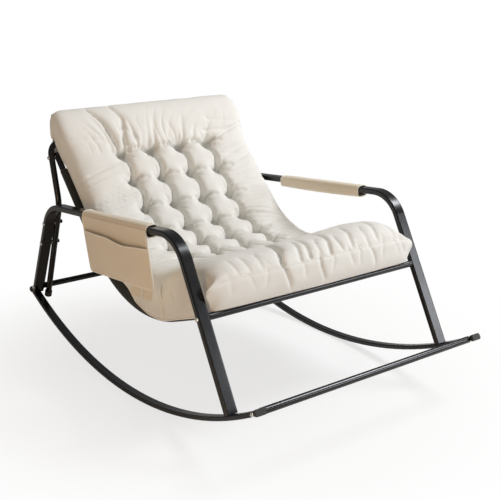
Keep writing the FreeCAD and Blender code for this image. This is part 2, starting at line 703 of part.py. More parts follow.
def bent_wire(corners, bends):
    """Wire of straight runs with an arc of the given radius at each inner corner."""
    edges = []
    start = corners[0]
    for before, corner, after, bend in zip(corners, corners[1:], corners[2:], bends):
        arriving = (corner - before).normalize()
        leaving = (after - corner).normalize()
        half_turn = arriving.getAngle(leaving) / 2
        trim = bend * math.tan(half_turn)
        inward = (leaving - arriving).normalize()
        middle = corner + inward * (bend / math.cos(half_turn) - bend)
        arc_start = corner - arriving * trim
        arc_end = corner + leaving * trim
        edges.append(Part.LineSegment(start, arc_start).toShape())
        edges.append(Part.Arc(arc_start, middle, arc_end).toShape())
        start = arc_end
    edges.append(Part.LineSegment(start, corners[-1]).toShape())
    return Part.Wire(edges)


def make_back_hoop():
    right = [hoop_foot, hoop_knee, hoop_top]
    corners = [Vector(-hoop_x, p.y, p.z) for p in right]
    corners += [Vector(hoop_x, p.y, p.z) for p in reversed(right)]
    knee, corner = VALUE["hoop_knee_bend"], VALUE["hoop_corner_bend"]
    path = doc.addObject("Part::Feature", "hoop_path")
    path.Shape = bent_wire(corners, [knee, corner, corner, knee])
    spine = [f"Edge{edge + 1}" for edge in range(len(path.Shape.Edges))]
    tubes = []
    bore = NAMED["hoop_diameter"] - NAMED["tube_wall"] * 2
    for name, diameter in (("hoop_outside", NAMED["hoop_diameter"]), ("hoop_bore", bore)):
        circle = doc.addObject("Part::Circle", f"{name}_section")
        bind(circle, "Radius", diameter / 2)
        circle.Placement = tilted(-hoop_x, hoop_foot.y, hoop_foot.z, VALUE["hoop_lean"])
        sweep = doc.addObject("Part::Sweep", name)
        sweep.Sections = [circle]
        sweep.Spine = (path, spine)
        sweep.Solid = True
        tubes.append(sweep)
    drills = []
    for side, sign in SIDES:
        for spot in hoop_leg_bolts + [rail_bolt]:
            name = f"hoop_drill_{len(drills) + 1}"
            drills.append(add_drill(name, NAMED["hoop_diameter"], sign * hoop_x, spot))
    hollow = cut_away("hoop_tube", tubes[0], [tubes[1]])
    keep(cut_away("back_hoop", hollow, drills), "back_hoop")


def make_hoop_end_caps():
    body = new_body("hoop_cap")
    fit = NAMED["insert_fit"] * 2
    outside = new_sketch(body, "hoop_cap_outside", "XY_Plane")
    draw_circle(outside, NAMED["hoop_diameter"] + fit + NAMED["hoop_cap_wall"] * 2)
    add_pad(body, outside, NAMED["hoop_cap_wall"], outward=False)
    skirt = new_sketch(body, "hoop_cap_skirt_ring", "XY_Plane")
    draw_circle(skirt, NAMED["hoop_diameter"] + fit + NAMED["hoop_cap_wall"] * 2)
    draw_circle(skirt, NAMED["hoop_diameter"] + fit)
    add_pad(body, skirt, NAMED["hoop_cap_skirt"])
    places = [tilted(sign * hoop_x, hoop_foot.y, hoop_foot.z, VALUE["hoop_lean"]) for side, sign in SIDES]
    keep_group("hoop_end_caps", body, places)


# Fasteners: heads outside, shanks along X toward the middle of the chair
def bolt_body(name, length):
    body = new_body(name)
    head = new_sketch(body, f"{name}_head", "XY_Plane")
    draw_circle(head, NAMED["bolt_head_diameter"])
    disc = add_pad(body, head, NAMED["bolt_head_height"], outward=False)
    doc.recompute()
    edges = disc.Shape.Edges
    rim = min(range(len(edges)), key=lambda number: edges[number].BoundBox.ZMax)
    bevel = body.newObject("PartDesign::Chamfer", f"{name}_bevel")
    bevel.Base = (disc, [f"Edge{rim + 1}"])
    bind(bevel, "Size", NAMED["bolt_head_bevel"])
    doc.recompute()
    shank = new_sketch(body, f"{name}_shank", "XY_Plane")
    draw_circle(shank, NAMED["bolt_diameter"])
    add_pad(body, shank, length)
    return body


def inward(sign, x, spot):
    """Placement on one side of the chair whose Z axis points to the middle of the chair."""
    return along_x(sign * x, spot.y, spot.z, -sign)


def make_bar_bolts():
    shapes = []
    for name, width, spots in (("rocker_bolt", "rocker_width", [front_bar]),
                               ("leg_bolt", "arm_width", [seat_bar, rear_bar])):
        seed = bolt_body(name, NAMED[width] + NAMED["bolt_bite"])
        doc.recompute()
        for side, sign in SIDES:
            for spot in spots:
                shape = seed.Shape.copy()
                shape.Placement = inward(sign, half_width, spot)
                shapes.append(shape)
    group = doc.addObject("Part::Feature", "bar_bolts")
    group.Shape = Part.makeCompound(shapes)
    keep(group, "bar_bolts")


def make_bar_inserts():
    bore = NAMED["bar_diameter"] - (NAMED["tube_wall"] + NAMED["insert_fit"]) * 2
    seed = ring_body("insert", bore, NAMED["bolt_diameter"] + NAMED["insert_fit"] * 2, NAMED["insert_length"])
    keep_group("bar_inserts", seed, [inward(sign, x, spot) for side, sign in SIDES for spot, x in bars])


def make_hoop_fasteners():
    tubes = NAMED["hoop_diameter"] + NAMED["spacer_thick"] + NAMED["nut_height"] + NAMED["bolt_end"]
    both = [sign for side, sign in SIDES]
    leg_bolt = bolt_body("hoop_bolt", NAMED["arm_width"] + tubes)
    keep_group("hoop_bolts", leg_bolt, [inward(s, half_width, p) for s in both for p in hoop_leg_bolts])
    hoop_outer_x = hoop_x + VALUE["hoop_diameter"] / 2
    rail_bolt_seed = bolt_body("rail_bolt", NAMED["rail_diameter"] + tubes)
    keep_group("rail_bolts", rail_bolt_seed, [inward(s, hoop_outer_x, rail_bolt) for s in both])
    block = doc.addObject("Part::Prism", "nut_block")
    block.Polygon = 6
    bind(block, "Circumradius", NAMED["nut_width"] / 2)
    bind(block, "Height", NAMED["nut_height"])
    hole = add_rod("nut_hole", NAMED["bolt_diameter"] + NAMED["insert_fit"] * 2, NAMED["nut_height"],
                   FreeCAD.Placement())
    nut = cut_away("nut", block, [hole])
    hoop_inner_x = hoop_x - VALUE["hoop_diameter"] / 2
    rail_inner_x = rail_x - VALUE["rail_diameter"] / 2
    keep_group("hoop_nuts", nut, [inward(s, hoop_inner_x, p) for s in both for p in hoop_leg_bolts])
    keep_group("rail_nuts", nut, [inward(s, rail_inner_x, rail_bolt) for s in both])
    washer = ring_body("washer", NAMED["spacer_diameter"], bolt_hole, NAMED["spacer_thick"])
    places = [inward(s, leg_inner_x, p) for s in both for p in hoop_leg_bolts]
    places += [inward(s, hoop_inner_x, rail_bolt) for s in both]
    keep_group("spacer_washers", washer, places)


# Sling: cloth over both rails, with its edges wrapped round their outer sides
def make_seat_sling():
    body = new_body("seat_sling")
    path = rail_path(body, NAMED["sling_front"], -NAMED["sling_top_drop"])
    section = new_sketch(body, "sling_section", "XY_Plane")
    section.AttachmentOffset = FreeCAD.Placement(Vector(0, 0, VALUE["sling_front"]), FreeCAD.Rotation())
    bind(section, "AttachmentOffset.Base.z", NAMED["sling_front"])
    inner = NAMED["rail_diameter"] / 2 + NAMED["contact_gap"]
    outer = inner + NAMED["sling_thick"]
    axis_x = NAMED["overall_width"] / 2 - NAMED["arm_width"] - NAMED["spacer_thick"] * 2
    axis_x = axis_x - NAMED["hoop_diameter"] - NAMED["rail_diameter"] / 2
    wrap = NAMED["sling_wrap"] - RIGHT_ANGLE
    out_across, out_up = outer * cosine(wrap), outer * sine(wrap)
    in_across, in_up = inner * cosine(wrap), inner * sine(wrap)
    vertices = [
        (-axis_x, -outer), (axis_x, -outer),
        (axis_x + out_across, out_up), (axis_x + in_across, in_up),
        (axis_x, -inner), (-axis_x, -inner),
        (-axis_x - in_across, in_up), (-axis_x - out_across, out_up),
    ]
    right, left = (axis_x, ZERO), (-axis_x, ZERO)
    arcs = {
        1: (right, outer, True),
        3: (right, inner, False),
        5: (left, inner, False),
        7: (left, outer, True),
    }
    draw_outline(section, vertices, arcs)
    add_pipe(body, path, section)
    body.Placement = rail_place(0)
    keep(body, "seat_sling")


# Cushion: sections square to the rail axis, from the nose in front to the head roll's end
cushion_base = VALUE["rail_diameter"] / 2 + VALUE["contact_gap"] * 2 + VALUE["sling_thick"]
hood_front_y = hoop_top.y + VALUE["hoop_diameter"] / 2 + VALUE["contact_gap"]
TUFT_ROWS = 6
TUFT_COLUMNS = 4
# Creases outside the tufted field, as a share of those inside it
SMOOTH = 0.1
# Fullest part of the side and its rounded upper edge, as shares of the cushion's height
SIDE_BULGE = 0.4
SIDE_EDGE = 0.7
# Rounding of the nose: share of the overhang, of the seam's height and of the rise to the knee
NOSE = ((1.0, 0.66, 0.0), (0.65, 0.2, 0.35), (0.1, 0.0, 0.62), (-1.2, 0.0, 0.88))
# Rounding of the head roll's end: share of the way from its crown to its end, and of its height
HEAD = ((0.0, 1.0), (0.55, 0.94), (0.85, 0.86), (1.0, 0.78))


def cushion_floor(s):
    """Underside of the cushion above the rail axis: on the sling, then over the hoop, then the hood."""
    past = s - bolt_s
    bar = hoop_top - rail_bolt
    over_bar = bar.dot(back_normal) + VALUE["hoop_diameter"] / 2 + VALUE["contact_gap"]
    before_bar = bar.dot(back_up) - VALUE["hoop_diameter"] / 2
    ramp = min(max(past / before_bar, 0), 1)
    point = rail_bolt + back_up * past
    at_hood = (hood_front_y - VALUE["contact_gap"] - point.y) / back_normal.y
    return max(cushion_base + (over_bar - cushion_base) * ramp, at_hood)


def cushion_section(s, floor, crown, depth, rise):
    """Closed wire: flat underside, full sides, side rolls and a puff between each two tuft columns."""
    point, _, normal = rail_frame(s)

    def place(x, n):
        return Vector(x, point.y + normal.y * n, point.z + normal.z * n)

    height = crown - floor
    base = rail_x - VALUE["cushion_base_inset"]
    fullness = height / (VALUE["knee_height"] - cushion_base)
    full = base + (leg_inner_x - VALUE["cushion_side_gap"] - base) * fullness
    shoulder = (base + full) / 2
    valley = crown - depth
    columns = [(c - (TUFT_COLUMNS - 1) / 2) * VALUE["tuft_column_pitch"] for c in range(TUFT_COLUMNS)]
    roll_x = (columns[-1] + shoulder) / 2 + (shoulder - columns[-1]) / 6
    bulge = floor + height * SIDE_BULGE
    edge = floor + height * SIDE_EDGE
    corners = [(base, floor), (shoulder, edge), (columns[-1], valley)]
    crests = [(full, bulge), (roll_x, crown)]
    for right, left in zip(reversed(columns), reversed(columns[:-1])):
        crests.append(((right + left) / 2, valley + rise))
        corners.append((left, valley))
    crests += [(-roll_x, crown), (-full, bulge)]
    corners += [(-shoulder, edge), (-base, floor)]
    edges = [Part.LineSegment(place(-base, floor), place(base, floor)).toShape()]
    for start, crest, end in zip(corners, crests, corners[1:]):
        edges.append(Part.Arc(place(*start), place(*crest), place(*end)).toShape())
    return Part.Wire(edges)


def cushion_stations():
    """Length along the rail, underside, crown, crease depth and puff rise of every section."""
    stations = []
    seam, knee = VALUE["front_seam_height"], VALUE["knee_height"]
    depth, rise = VALUE["tuft_depth"], VALUE["puff_rise"]
    for out, lift, climb in NOSE:
        floor = cushion_base + (seam - cushion_base) * lift
        crown = seam + (knee - seam) * climb
        stations.append((-VALUE["cushion_nose"] * out, floor, crown, depth * SMOOTH, rise * SMOOTH))
    stations.append((VALUE["knee_place"], cushion_base, knee, depth * SMOOTH, rise * SMOOTH))
    first = VALUE["tuft_first"]
    between = (VALUE["knee_place"] + first) / 2
    crown = (knee + VALUE["seat_height"]) / 2
    stations.append((between, cushion_base, crown, depth * SMOOTH, rise * SMOOTH))
    last = bolt_s - VALUE["tuft_last_drop"]
    pitch = (last - first) / (TUFT_ROWS - 1)
    for step in range(2 * TUFT_ROWS - 1):
        s = first + pitch * step / 2
        share = min((s - first) / (last - first) * 2, 1)
        crown = VALUE["seat_height"] + (VALUE["back_height"] - VALUE["seat_height"]) * share
        crease = depth if step % 2 == 0 else VALUE["channel_depth"]
        stations.append((s, cushion_base, crown, crease, rise))
    head, end = VALUE["head_place"], VALUE["head_end"]
    for along, share in HEAD:
        s = bolt_s + head + (end - head) * along
        stations.append((s, cushion_floor(s), VALUE["head_height"] * share, depth * SMOOTH, rise * SMOOTH))
    return stations


def make_cushion():
    wires = [cushion_section(*station) for station in cushion_stations()]
    cushion = doc.addObject("Part::Feature", "cushion")
    cushion.Shape = Part.makeLoft(wires, True, True)
    keep(cushion, "cushion")


def make_cushion_hood():
    hood = doc.addObject("Part::Box", "cushion_hood")
    hoop_reach = leg_reach - NAMED["spacer_thick"] - NAMED["hoop_diameter"] / 2
    half = hoop_reach - NAMED["hood_inset"]
    bind(hood, "Length", half * 2)
    bind(hood, "Width", NAMED["hood_thick"])
    bind(hood, "Height", NAMED["hood_drop"])
    top = rail_bolt + back_up * VALUE["head_end"] + back_normal * (VALUE["head_height"] * HEAD[-1][1])
    hood.Placement.Base = Vector(-half.value, hood_front_y, top.z - VALUE["hood_drop"])
    keep(hood, "cushion_hood")


# Canvas on the arms, in a frame whose Y axis runs along the arm from its front corner to the rear
def arm_place(x):
    return tilted(x, arm_corner_point.y, arm_corner_point.z, -VALUE["arm_fall"])


def make_arm_sleeve(side, sign):
    body = new_body(f"{side}_arm_sleeve")
    section = new_sketch(body, f"{side}_sleeve_section", "XZ_Plane")
    section.AttachmentOffset = FreeCAD.Placement(Vector(0, 0, -VALUE["sleeve_setback"]), FreeCAD.Rotation())
    bind(section, "AttachmentOffset.Base.z", -NAMED["sleeve_setback"])
    gap, cloth = NAMED["contact_gap"] * 2, NAMED["sleeve_cloth"]
    inner_width = NAMED["arm_width"] + gap
    inner_height = NAMED["arm_thick"] + gap + NAMED["sleeve_sag"]
    middle = -(NAMED["sleeve_sag"] / 2)
    draw_rounded_rectangle(section, inner_width + cloth * 2, inner_height + cloth * 2,
                           NAMED["sleeve_corner"], middle)
    draw_rounded_rectangle(section, inner_width, inner_height, NAMED["sleeve_corner"] - cloth, middle)
    add_pad(body, section, NAMED["sleeve_length"], outward=False)
    body.Placement = arm_place(sign * arm_x)
    keep(body, f"{side}_arm_sleeve")


pocket_gap = VALUE["contact_gap"] * 2
pocket_x = -arm_x - VALUE["arm_width"] / 2 - VALUE["sleeve_cloth"] - pocket_gap


def make_right_pocket():
    body = new_body("right_pocket")
    front, length = NAMED["pocket_setback"], NAMED["pocket_length"]
    low, top, slant = -NAMED["pocket_drop"], -NAMED["pocket_top"], NAMED["pocket_slant"]
    border, cloth = NAMED["pocket_border"], NAMED["sleeve_cloth"]
    rear = front + length
    mouth_front, mouth_rear = -NAMED["mouth_front_drop"], -NAMED["mouth_rear_drop"]
    bend = rear - NAMED["mouth_straight"]
    panels = {
        "back": ([(front - slant, low), (rear - slant, low), (rear, top), (front, top)], ZERO, cloth),
        "edge": ([(front - slant, low), (rear - slant, low), (rear, mouth_rear),
                  (rear - border, mouth_rear), (rear - slant - border, low + border),
                  (front - slant + border, low + border), (front + border, mouth_front),
                  (front, mouth_front)], cloth, NAMED["pocket_depth"]),
        "face": ([(front - slant, low), (rear - slant, low), (rear, mouth_rear), (bend, mouth_rear),
                  (front, mouth_front)], cloth + NAMED["pocket_depth"], cloth),
    }
    for name, (vertices, offset, thick) in panels.items():
        sketch = new_sketch(body, f"pocket_{name}", "YZ_Plane")
        sketch.AttachmentOffset = FreeCAD.Placement(Vector(0, 0, -offset.value), FreeCAD.Rotation())
        bind(sketch, "AttachmentOffset.Base.z", -offset)
        draw_outline(sketch, vertices)
        add_pad(body, sketch, thick, outward=False)
        doc.recompute()
    body.Placement = arm_place(pocket_x)
    keep(body, "right_pocket")


def make_pocket_tabs():
    seed = doc.addObject("Part::Box", "tab")
    bind(seed, "Length", NAMED["tab_thick"])
    bind(seed, "Width", NAMED["tab_width"])
    bind(seed, "Height", NAMED["tab_length"])
    sunk = -VALUE["pocket_drop"] + VALUE["tab_overlap"] - VALUE["tab_length"]
    places = []
    for number in range(2):
        along = VALUE["tab_first"] + number * VALUE["tab_pitch"]
        local = FreeCAD.Placement(Vector(0, along, sunk), FreeCAD.Rotation())
        places.append(arm_place(pocket_x + VALUE["contact_gap"]).multiply(local))
    keep_group("pocket_tabs", seed, places)


for side, sign in SIDES:
    make_rocker(side, sign)
    make_arm_arch(side, sign)
    make_seat_rail(side, sign)
    make_arm_sleeve(side, sign)
make_rocker_end_caps()
make_bar("front_rocker_bar", front_bar, rocker_reach)
make_bar("seat_front_bar", seat_bar, leg_reach)
make_bar("rear_bar", rear_bar, leg_reach)
make_rail_end_plugs()
make_back_top_bar()
make_back_hoop()
make_hoop_end_caps()
make_bar_bolts()
make_bar_inserts()
make_hoop_fasteners()
make_seat_sling()
make_cushion()
make_cushion_hood()
make_right_pocket()
make_pocket_tabs()
doc.recompute()

for thing in doc.Objects:
    if "Invalid" in thing.State or "Error" in thing.State:
        raise RuntimeError(f"{thing.Label} did not recompute: {thing.State}")
for part in subparts:
    if part.Shape.isNull() or not part.Shape.isValid() or not part.Shape.Solids:
        raise RuntimeError(f"{part.Label} has no valid solid")

os.makedirs("parts", exist_ok=True)
for part in subparts:
    part.Shape.exportStep(f"parts/{part.Label}.step")
    print(part.Label, len(part.Shape.Solids), "solids", round(part.Shape.Volume), "mm3")
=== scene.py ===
import json
import math

import bmesh
import bpy
import numpy as np
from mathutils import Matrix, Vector, noise

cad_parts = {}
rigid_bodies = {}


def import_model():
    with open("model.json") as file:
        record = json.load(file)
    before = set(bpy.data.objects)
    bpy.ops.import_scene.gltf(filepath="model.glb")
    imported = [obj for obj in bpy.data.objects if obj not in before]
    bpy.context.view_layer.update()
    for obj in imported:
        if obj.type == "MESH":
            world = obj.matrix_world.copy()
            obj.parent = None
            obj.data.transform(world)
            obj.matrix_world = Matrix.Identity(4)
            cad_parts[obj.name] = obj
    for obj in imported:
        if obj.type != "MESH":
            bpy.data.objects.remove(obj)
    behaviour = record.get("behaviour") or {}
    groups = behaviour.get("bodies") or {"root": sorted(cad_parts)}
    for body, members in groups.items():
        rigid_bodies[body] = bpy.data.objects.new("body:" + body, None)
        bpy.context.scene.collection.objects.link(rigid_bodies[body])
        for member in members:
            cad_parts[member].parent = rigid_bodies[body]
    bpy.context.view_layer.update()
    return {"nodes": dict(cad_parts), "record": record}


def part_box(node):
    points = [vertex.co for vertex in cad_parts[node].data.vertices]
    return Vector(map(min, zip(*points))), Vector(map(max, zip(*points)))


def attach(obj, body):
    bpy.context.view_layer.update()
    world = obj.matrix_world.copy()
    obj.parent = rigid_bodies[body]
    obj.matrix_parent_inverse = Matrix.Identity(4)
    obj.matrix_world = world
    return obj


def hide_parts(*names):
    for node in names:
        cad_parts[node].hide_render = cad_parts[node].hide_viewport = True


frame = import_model()
scene = bpy.context.scene
nodes = frame["nodes"]

# Everything is in metres, in the chair's own frame: +Z up, the chair faces -Y,
# the origin is on the floor between the runners, and the pocket is on the -X side.
MM = 0.001

# Seat rail axis: seat, curve and back
SEAT_BAR = Vector((0, -0.4764, 0.399))
SEAT_SLOPE = math.radians(20)
BACK_SLOPE = math.radians(46.7)
SEAT_RUN = 0.5698
BACK_RUN = 0.6896
RAIL_BEND = 0.480
RAIL_RADIUS = 0.011
RAIL_X = 0.383

# Arm tube
ARM_CORNER = Vector((0, -0.3575, 0.6197))
ARM_FALL = math.radians(5.31)
ARM_X = 0.440
ARM_WIDTH = 0.040
ARM_THICK = 0.020


def slope(angle):
    """Unit vector in the side view: 0 points to the rear, a right angle points up."""
    return Vector((0, math.cos(angle), math.sin(angle)))


RAIL_TURN = SEAT_SLOPE + BACK_SLOPE
RAIL_TRIM = RAIL_BEND * math.tan(RAIL_TURN / 2)
SEAT_STRAIGHT = SEAT_RUN - RAIL_TRIM
CURVE_LENGTH = RAIL_BEND * RAIL_TURN
HOOP_BOLT_AT = SEAT_STRAIGHT + CURVE_LENGTH + BACK_RUN - RAIL_TRIM
CURVE_CENTRE = (SEAT_BAR + slope(-SEAT_SLOPE) * SEAT_STRAIGHT
                + slope(math.pi / 2 - SEAT_SLOPE) * RAIL_BEND)


def rail_frame(s):
    """Point and upward normal of the rail axis at a length behind the seat front bar."""
    bent = (s - SEAT_STRAIGHT) / RAIL_BEND
    angle = min(max(bent, 0), RAIL_TURN) - SEAT_SLOPE
    point = CURVE_CENTRE - slope(angle + math.pi / 2) * RAIL_BEND
    if s < SEAT_STRAIGHT:
        point += slope(angle) * (s - SEAT_STRAIGHT)
    if s > SEAT_STRAIGHT + CURVE_LENGTH:
        point += slope(angle) * (s - SEAT_STRAIGHT - CURVE_LENGTH)
    return point, slope(angle + math.pi / 2)


def on_rail(x, s, n):
    """Place at x across, s along the rail and n above its axis."""
    point, normal = rail_frame(s)
    place = point + normal * n
    place.x = x
    return place


def on_arm(x, along, up):
    """Place at x across, a length along the arm from its front corner, and a height above its axis."""
    place = ARM_CORNER + slope(-ARM_FALL) * along + slope(math.pi / 2 - ARM_FALL) * up
    place.x = x
    return place


# Colours and materials
def linear(code):
    """sRGB hex colour as linear red, green, blue and alpha."""
    parts = [int(code[i:i + 2], 16) / 255 for i in (1, 3, 5)]
    return [p / 12.92 if p <= 0.04045 else ((p + 0.055) / 1.055) ** 2.4 for p in parts] + [1.0]


def add(tree, kind, settings=None, **sockets):
    """Adds a node with its settings, its input values and its links from other nodes' outputs."""
    node = tree.nodes.new(kind)
    for name, value in (settings or {}).items():
        setattr(node, name, value)
    for name, value in sockets.items():
        socket = node.inputs[int(name[1:])] if name[1:].isdigit() else node.inputs[name.replace("_", " ")]
        if isinstance(value, bpy.types.NodeSocket):
            tree.links.new(value, socket)
        else:
            socket.default_value = value
    return node


def new_material(name, roughness, **sockets):
    """A Principled material, and its node tree, shader and Object coordinates."""
    material = bpy.data.materials.new(name)
    material.use_nodes = True
    tree = material.node_tree
    shader = tree.nodes["Principled BSDF"]
    shader.inputs["Roughness"].default_value = roughness
    for key, value in sockets.items():
        shader.inputs[key.replace("_", " ")].default_value = value
    coords = tree.nodes.new("ShaderNodeTexCoord")
    return material, tree, shader, coords


def ramp(tree, factor, stops):
    """Colour ramp from a list of positions and hex colours."""
    node = add(tree, "ShaderNodeValToRGB", _0=factor)
    band = node.color_ramp
    band.elements[0].position, band.elements[0].color = stops[0][0], linear(stops[0][1])
    band.elements[1].position, band.elements[1].color = stops[-1][0], linear(stops[-1][1])
    for position, code in stops[1:-1]:
        band.elements.new(position).color = linear(code)
    return node.outputs["Color"]


def powder_coat():
    """Satin black polyester powder on steel: a soft sheen with a faint orange-peel skin."""
    material, tree, shader, coords = new_material("satin_black_powder_coat", 0.22, IOR=1.5)
    peel = add(tree, "ShaderNodeTexNoise", Vector=coords.outputs["Object"], Scale=1 / (2.5 * MM), Detail=2.0)
    dust = add(tree, "ShaderNodeTexNoise", Vector=coords.outputs["Object"], Scale=1 / (60 * MM), Detail=4.0)
    tree.links.new(ramp(tree, dust.outputs["Fac"], [(0.3, "#080808"), (0.75, "#0F0E0D")]),
                   shader.inputs["Base Color"])
    rough = add(tree, "ShaderNodeMapRange", Value=dust.outputs["Fac"], To_Min=0.17, To_Max=0.27)
    tree.links.new(rough.outputs["Result"], shader.inputs["Roughness"])
    bump = add(tree, "ShaderNodeBump", Strength=0.06, Distance=0.2 * MM, Height=peel.outputs["Fac"])
    tree.links.new(bump.outputs["Normal"], shader.inputs["Normal"])
    return material


def moulded_plastic():
    """Black polypropylene end caps: a grey bloom and a fine spark-eroded grain."""
    material, tree, shader, coords = new_material("black_moulded_polypropylene", 0.5, IOR=1.49)
    grain = add(tree, "ShaderNodeTexNoise", Vector=coords.outputs["Object"], Scale=1 / (0.8 * MM), Detail=3.0)
    bloom = add(tree, "ShaderNodeTexNoise", Vector=coords.outputs["Object"], Scale=1 / (14 * MM), Detail=2.0)
    tree.links.new(ramp(tree, bloom.outputs["Fac"], [(0.3, "#23231E"), (0.8, "#35352D")]),
                   shader.inputs["Base Color"])
    bump = add(tree, "ShaderNodeBump", Strength=0.15, Distance=0.1 * MM, Height=grain.outputs["Fac"])
    tree.links.new(bump.outputs["Normal"], shader.inputs["Normal"])
    return material


def zinc_plate():
    """Bright zinc on steel bolts: a pale metal with small cloudy patches."""
    material, tree, shader, coords = new_material("bright_zinc_plate", 0.25, Metallic=1.0)
    cloud = add(tree, "ShaderNodeTexNoise", Vector=coords.outputs["Object"], Scale=1 / (3 * MM), Detail=3.0)
    tree.links.new(ramp(tree, cloud.outputs["Fac"], [(0.3, "#C9CBCC"), (0.8, "#E8E9E8")]),
                   shader.inputs["Base Color"])
    rough = add(tree, "ShaderNodeMapRange", Value=cloud.outputs["Fac"], To_Min=0.18, To_Max=0.36)
    tree.links.new(rough.outputs["Result"], shader.inputs["Roughness"])
    return material


def black_oxide():
    """Blackened steel nuts: dark, slightly oily."""
    material, tree, shader, coords = new_material("black_oxide_steel", 0.4, Metallic=0.6)
    cloud = add(tree, "ShaderNodeTexNoise", Vector=coords.outputs["Object"], Scale=1 / (4 * MM), Detail=2.0)
    tree.links.new(ramp(tree, cloud.outputs["Fac"], [(0.3, "#141412"), (0.8, "#22211E")]),
                   shader.inputs["Base Color"])
    return material


def woven_cloth(name, light, dark, thread, roughness, bump_depth, sheen=0.2):
    """Plain-woven cloth: two sets of threads at right angles, with slubs and soft colour drift.

    The threads follow the piece's own UV map, which is laid out in metres.
    """
    material, tree, shader, coords = new_material(name, roughness, Sheen_Weight=sheen, Sheen_Roughness=0.5)
    uv = coords.outputs["UV"]
    size = 1 / (thread * 2)
    warp = add(tree, "ShaderNodeTexWave", {"bands_direction": "X", "wave_profile": "SIN"},
               Vector=uv, Scale=size, Distortion=0.6, Detail=1.0, Detail_Scale=1.5)
    weft = add(tree, "ShaderNodeTexWave", {"bands_direction": "Y", "wave_profile": "SIN"},
               Vector=uv, Scale=size, Distortion=0.6, Detail=1.0, Detail_Scale=1.5)
    slub = add(tree, "ShaderNodeTexNoise", Vector=coords.outputs["Object"], Scale=1 / (9 * MM), Detail=5.0)
    drift = add(tree, "ShaderNodeTexNoise", Vector=coords.outputs["Object"], Scale=1 / (140 * MM), Detail=2.0)
    over = add(tree, "ShaderNodeMath", {"operation": "MAXIMUM"},
               _0=warp.outputs["Fac"], _1=weft.outputs["Fac"])
    mixed = add(tree, "ShaderNodeMath", {"operation": "MULTIPLY_ADD"},
                _0=slub.outputs["Fac"], _1=0.5, _2=over.outputs["Value"])
    tone = add(tree, "ShaderNodeMath", {"operation": "MULTIPLY_ADD"},
               _0=drift.outputs["Fac"], _1=0.4, _2=mixed.outputs["Value"])
    tree.links.new(ramp(tree, tone.outputs["Value"], [(0.55, dark), (1.3, light)]),
                   shader.inputs["Base Color"])
    bump = add(tree, "ShaderNodeBump", Strength=0.35, Distance=bump_depth, Height=mixed.outputs["Value"])
    tree.links.new(bump.outputs["Normal"], shader.inputs["Normal"])
    return material


# Threads are drawn coarser than cotton's half millimetre, which is too fine to show at this distance
COTTON = woven_cloth("cream_cotton_cover", "#EBEAE5", "#E0DDD6", 1.4 * MM, 0.85, 0.25 * MM)
CANVAS = woven_cloth("cream_canvas", "#EDE2CF", "#DFD0B7", 1.8 * MM, 0.9, 0.5 * MM)
PIPING = woven_cloth("cream_piping_cord", "#FAF6EB", "#F0E8D8", 1.2 * MM, 0.8, 0.3 * MM)
WEBBING = woven_cloth("beige_cotton_webbing", "#EADFCA", "#DACBB0", 2.2 * MM, 0.85, 0.6 * MM)
SLING = woven_cloth("black_polyester_sling", "#23221F", "#141412", 1.8 * MM, 0.7, 0.4 * MM)
STEEL = powder_coat()
PLASTIC = moulded_plastic()
ZINC = zinc_plate()
BLACKED = black_oxide()

FRAME_FINISH = {
    "satin_black": STEEL,
    "black_plastic": PLASTIC,
    "zinc": ZINC,
    "black_steel": BLACKED,
    "canvas": CANVAS,
    "sling_cloth": SLING,
    "cushion_cloth": COTTON,
    "webbing": WEBBING,
}
for part in frame["record"]["subparts"]:
    piece = bpy.data.objects[part["node"]] if part["node"] in bpy.data.objects else nodes[part["node"]]
    piece.data.materials.clear()
    piece.data.materials.append(FRAME_FINISH[part["material_slot"]])


# Cloth pieces start as one flat grid whose UV map is laid out in metres
def cloth_grid(name, across, along, size, place, material):
    """Grid of cloth: size is its flat width and length, place maps both shares to its position."""
    bm = bmesh.new()
    uv = bm.loops.layers.uv.new("cloth")
    bmesh.ops.create_grid(bm, x_segments=across, y_segments=along, size=0.5, calc_uvs=True)
    for face in bm.faces:
        for loop in face.loops:
            loop[uv].uv = Vector(((loop.vert.co.x + 0.5) * size[0], (loop.vert.co.y + 0.5) * size[1]))
    for vert in bm.verts:
        vert.co = place(vert.co.x + 0.5, vert.co.y + 0.5)
    return finish_piece(name, bm, material)


def finish_piece(name, bm, material, smooth=True):
    """Turns a bmesh into an object of the scene."""
    mesh = bpy.data.meshes.new(name)
    bm.to_mesh(mesh)
    bm.free()
    mesh.materials.append(material)
    if smooth:
        mesh.shade_smooth()
    piece = bpy.data.objects.new(name, mesh)
    scene.collection.objects.link(piece)
    return piece


def thicken(piece, depth, offset=0.0):
    """Gives a sheet its thickness."""
    solid = piece.modifiers.new("cloth thickness", "SOLIDIFY")
    solid.thickness = depth
    solid.offset = offset


def soften(piece):
    """One step of subdivision, left as a modifier."""
    smooth = piece.modifiers.new("soft cloth", "SUBSURF")
    smooth.levels = 1
    smooth.render_levels = 1


def piping(name, points, radius, material, closed=False):
    """Cord sewn along an edge."""
    curve = bpy.data.curves.new(name, "CURVE")
    curve.dimensions = "3D"
    curve.bevel_depth = radius
    curve.bevel_resolution = 2
    curve.resolution_u = 4
    spline = curve.splines.new("NURBS")
    spline.points.add(len(points) - 1)
    for spot, point in zip(spline.points, points):
        spot.co = (*point, 1)
    spline.order_u = 3
    spline.use_endpoint_u = not closed
    spline.use_cyclic_u = closed
    line = bpy.data.objects.new(name, curve)
    mesh = bpy.data.meshes.new_from_object(line)
    bpy.data.objects.remove(line)
    bpy.data.curves.remove(curve)
    mesh.materials.clear()
    mesh.materials.append(material)
    mesh.shade_smooth()
    piece = bpy.data.objects.new(name, mesh)
    scene.collection.objects.link(piece)
    return piece


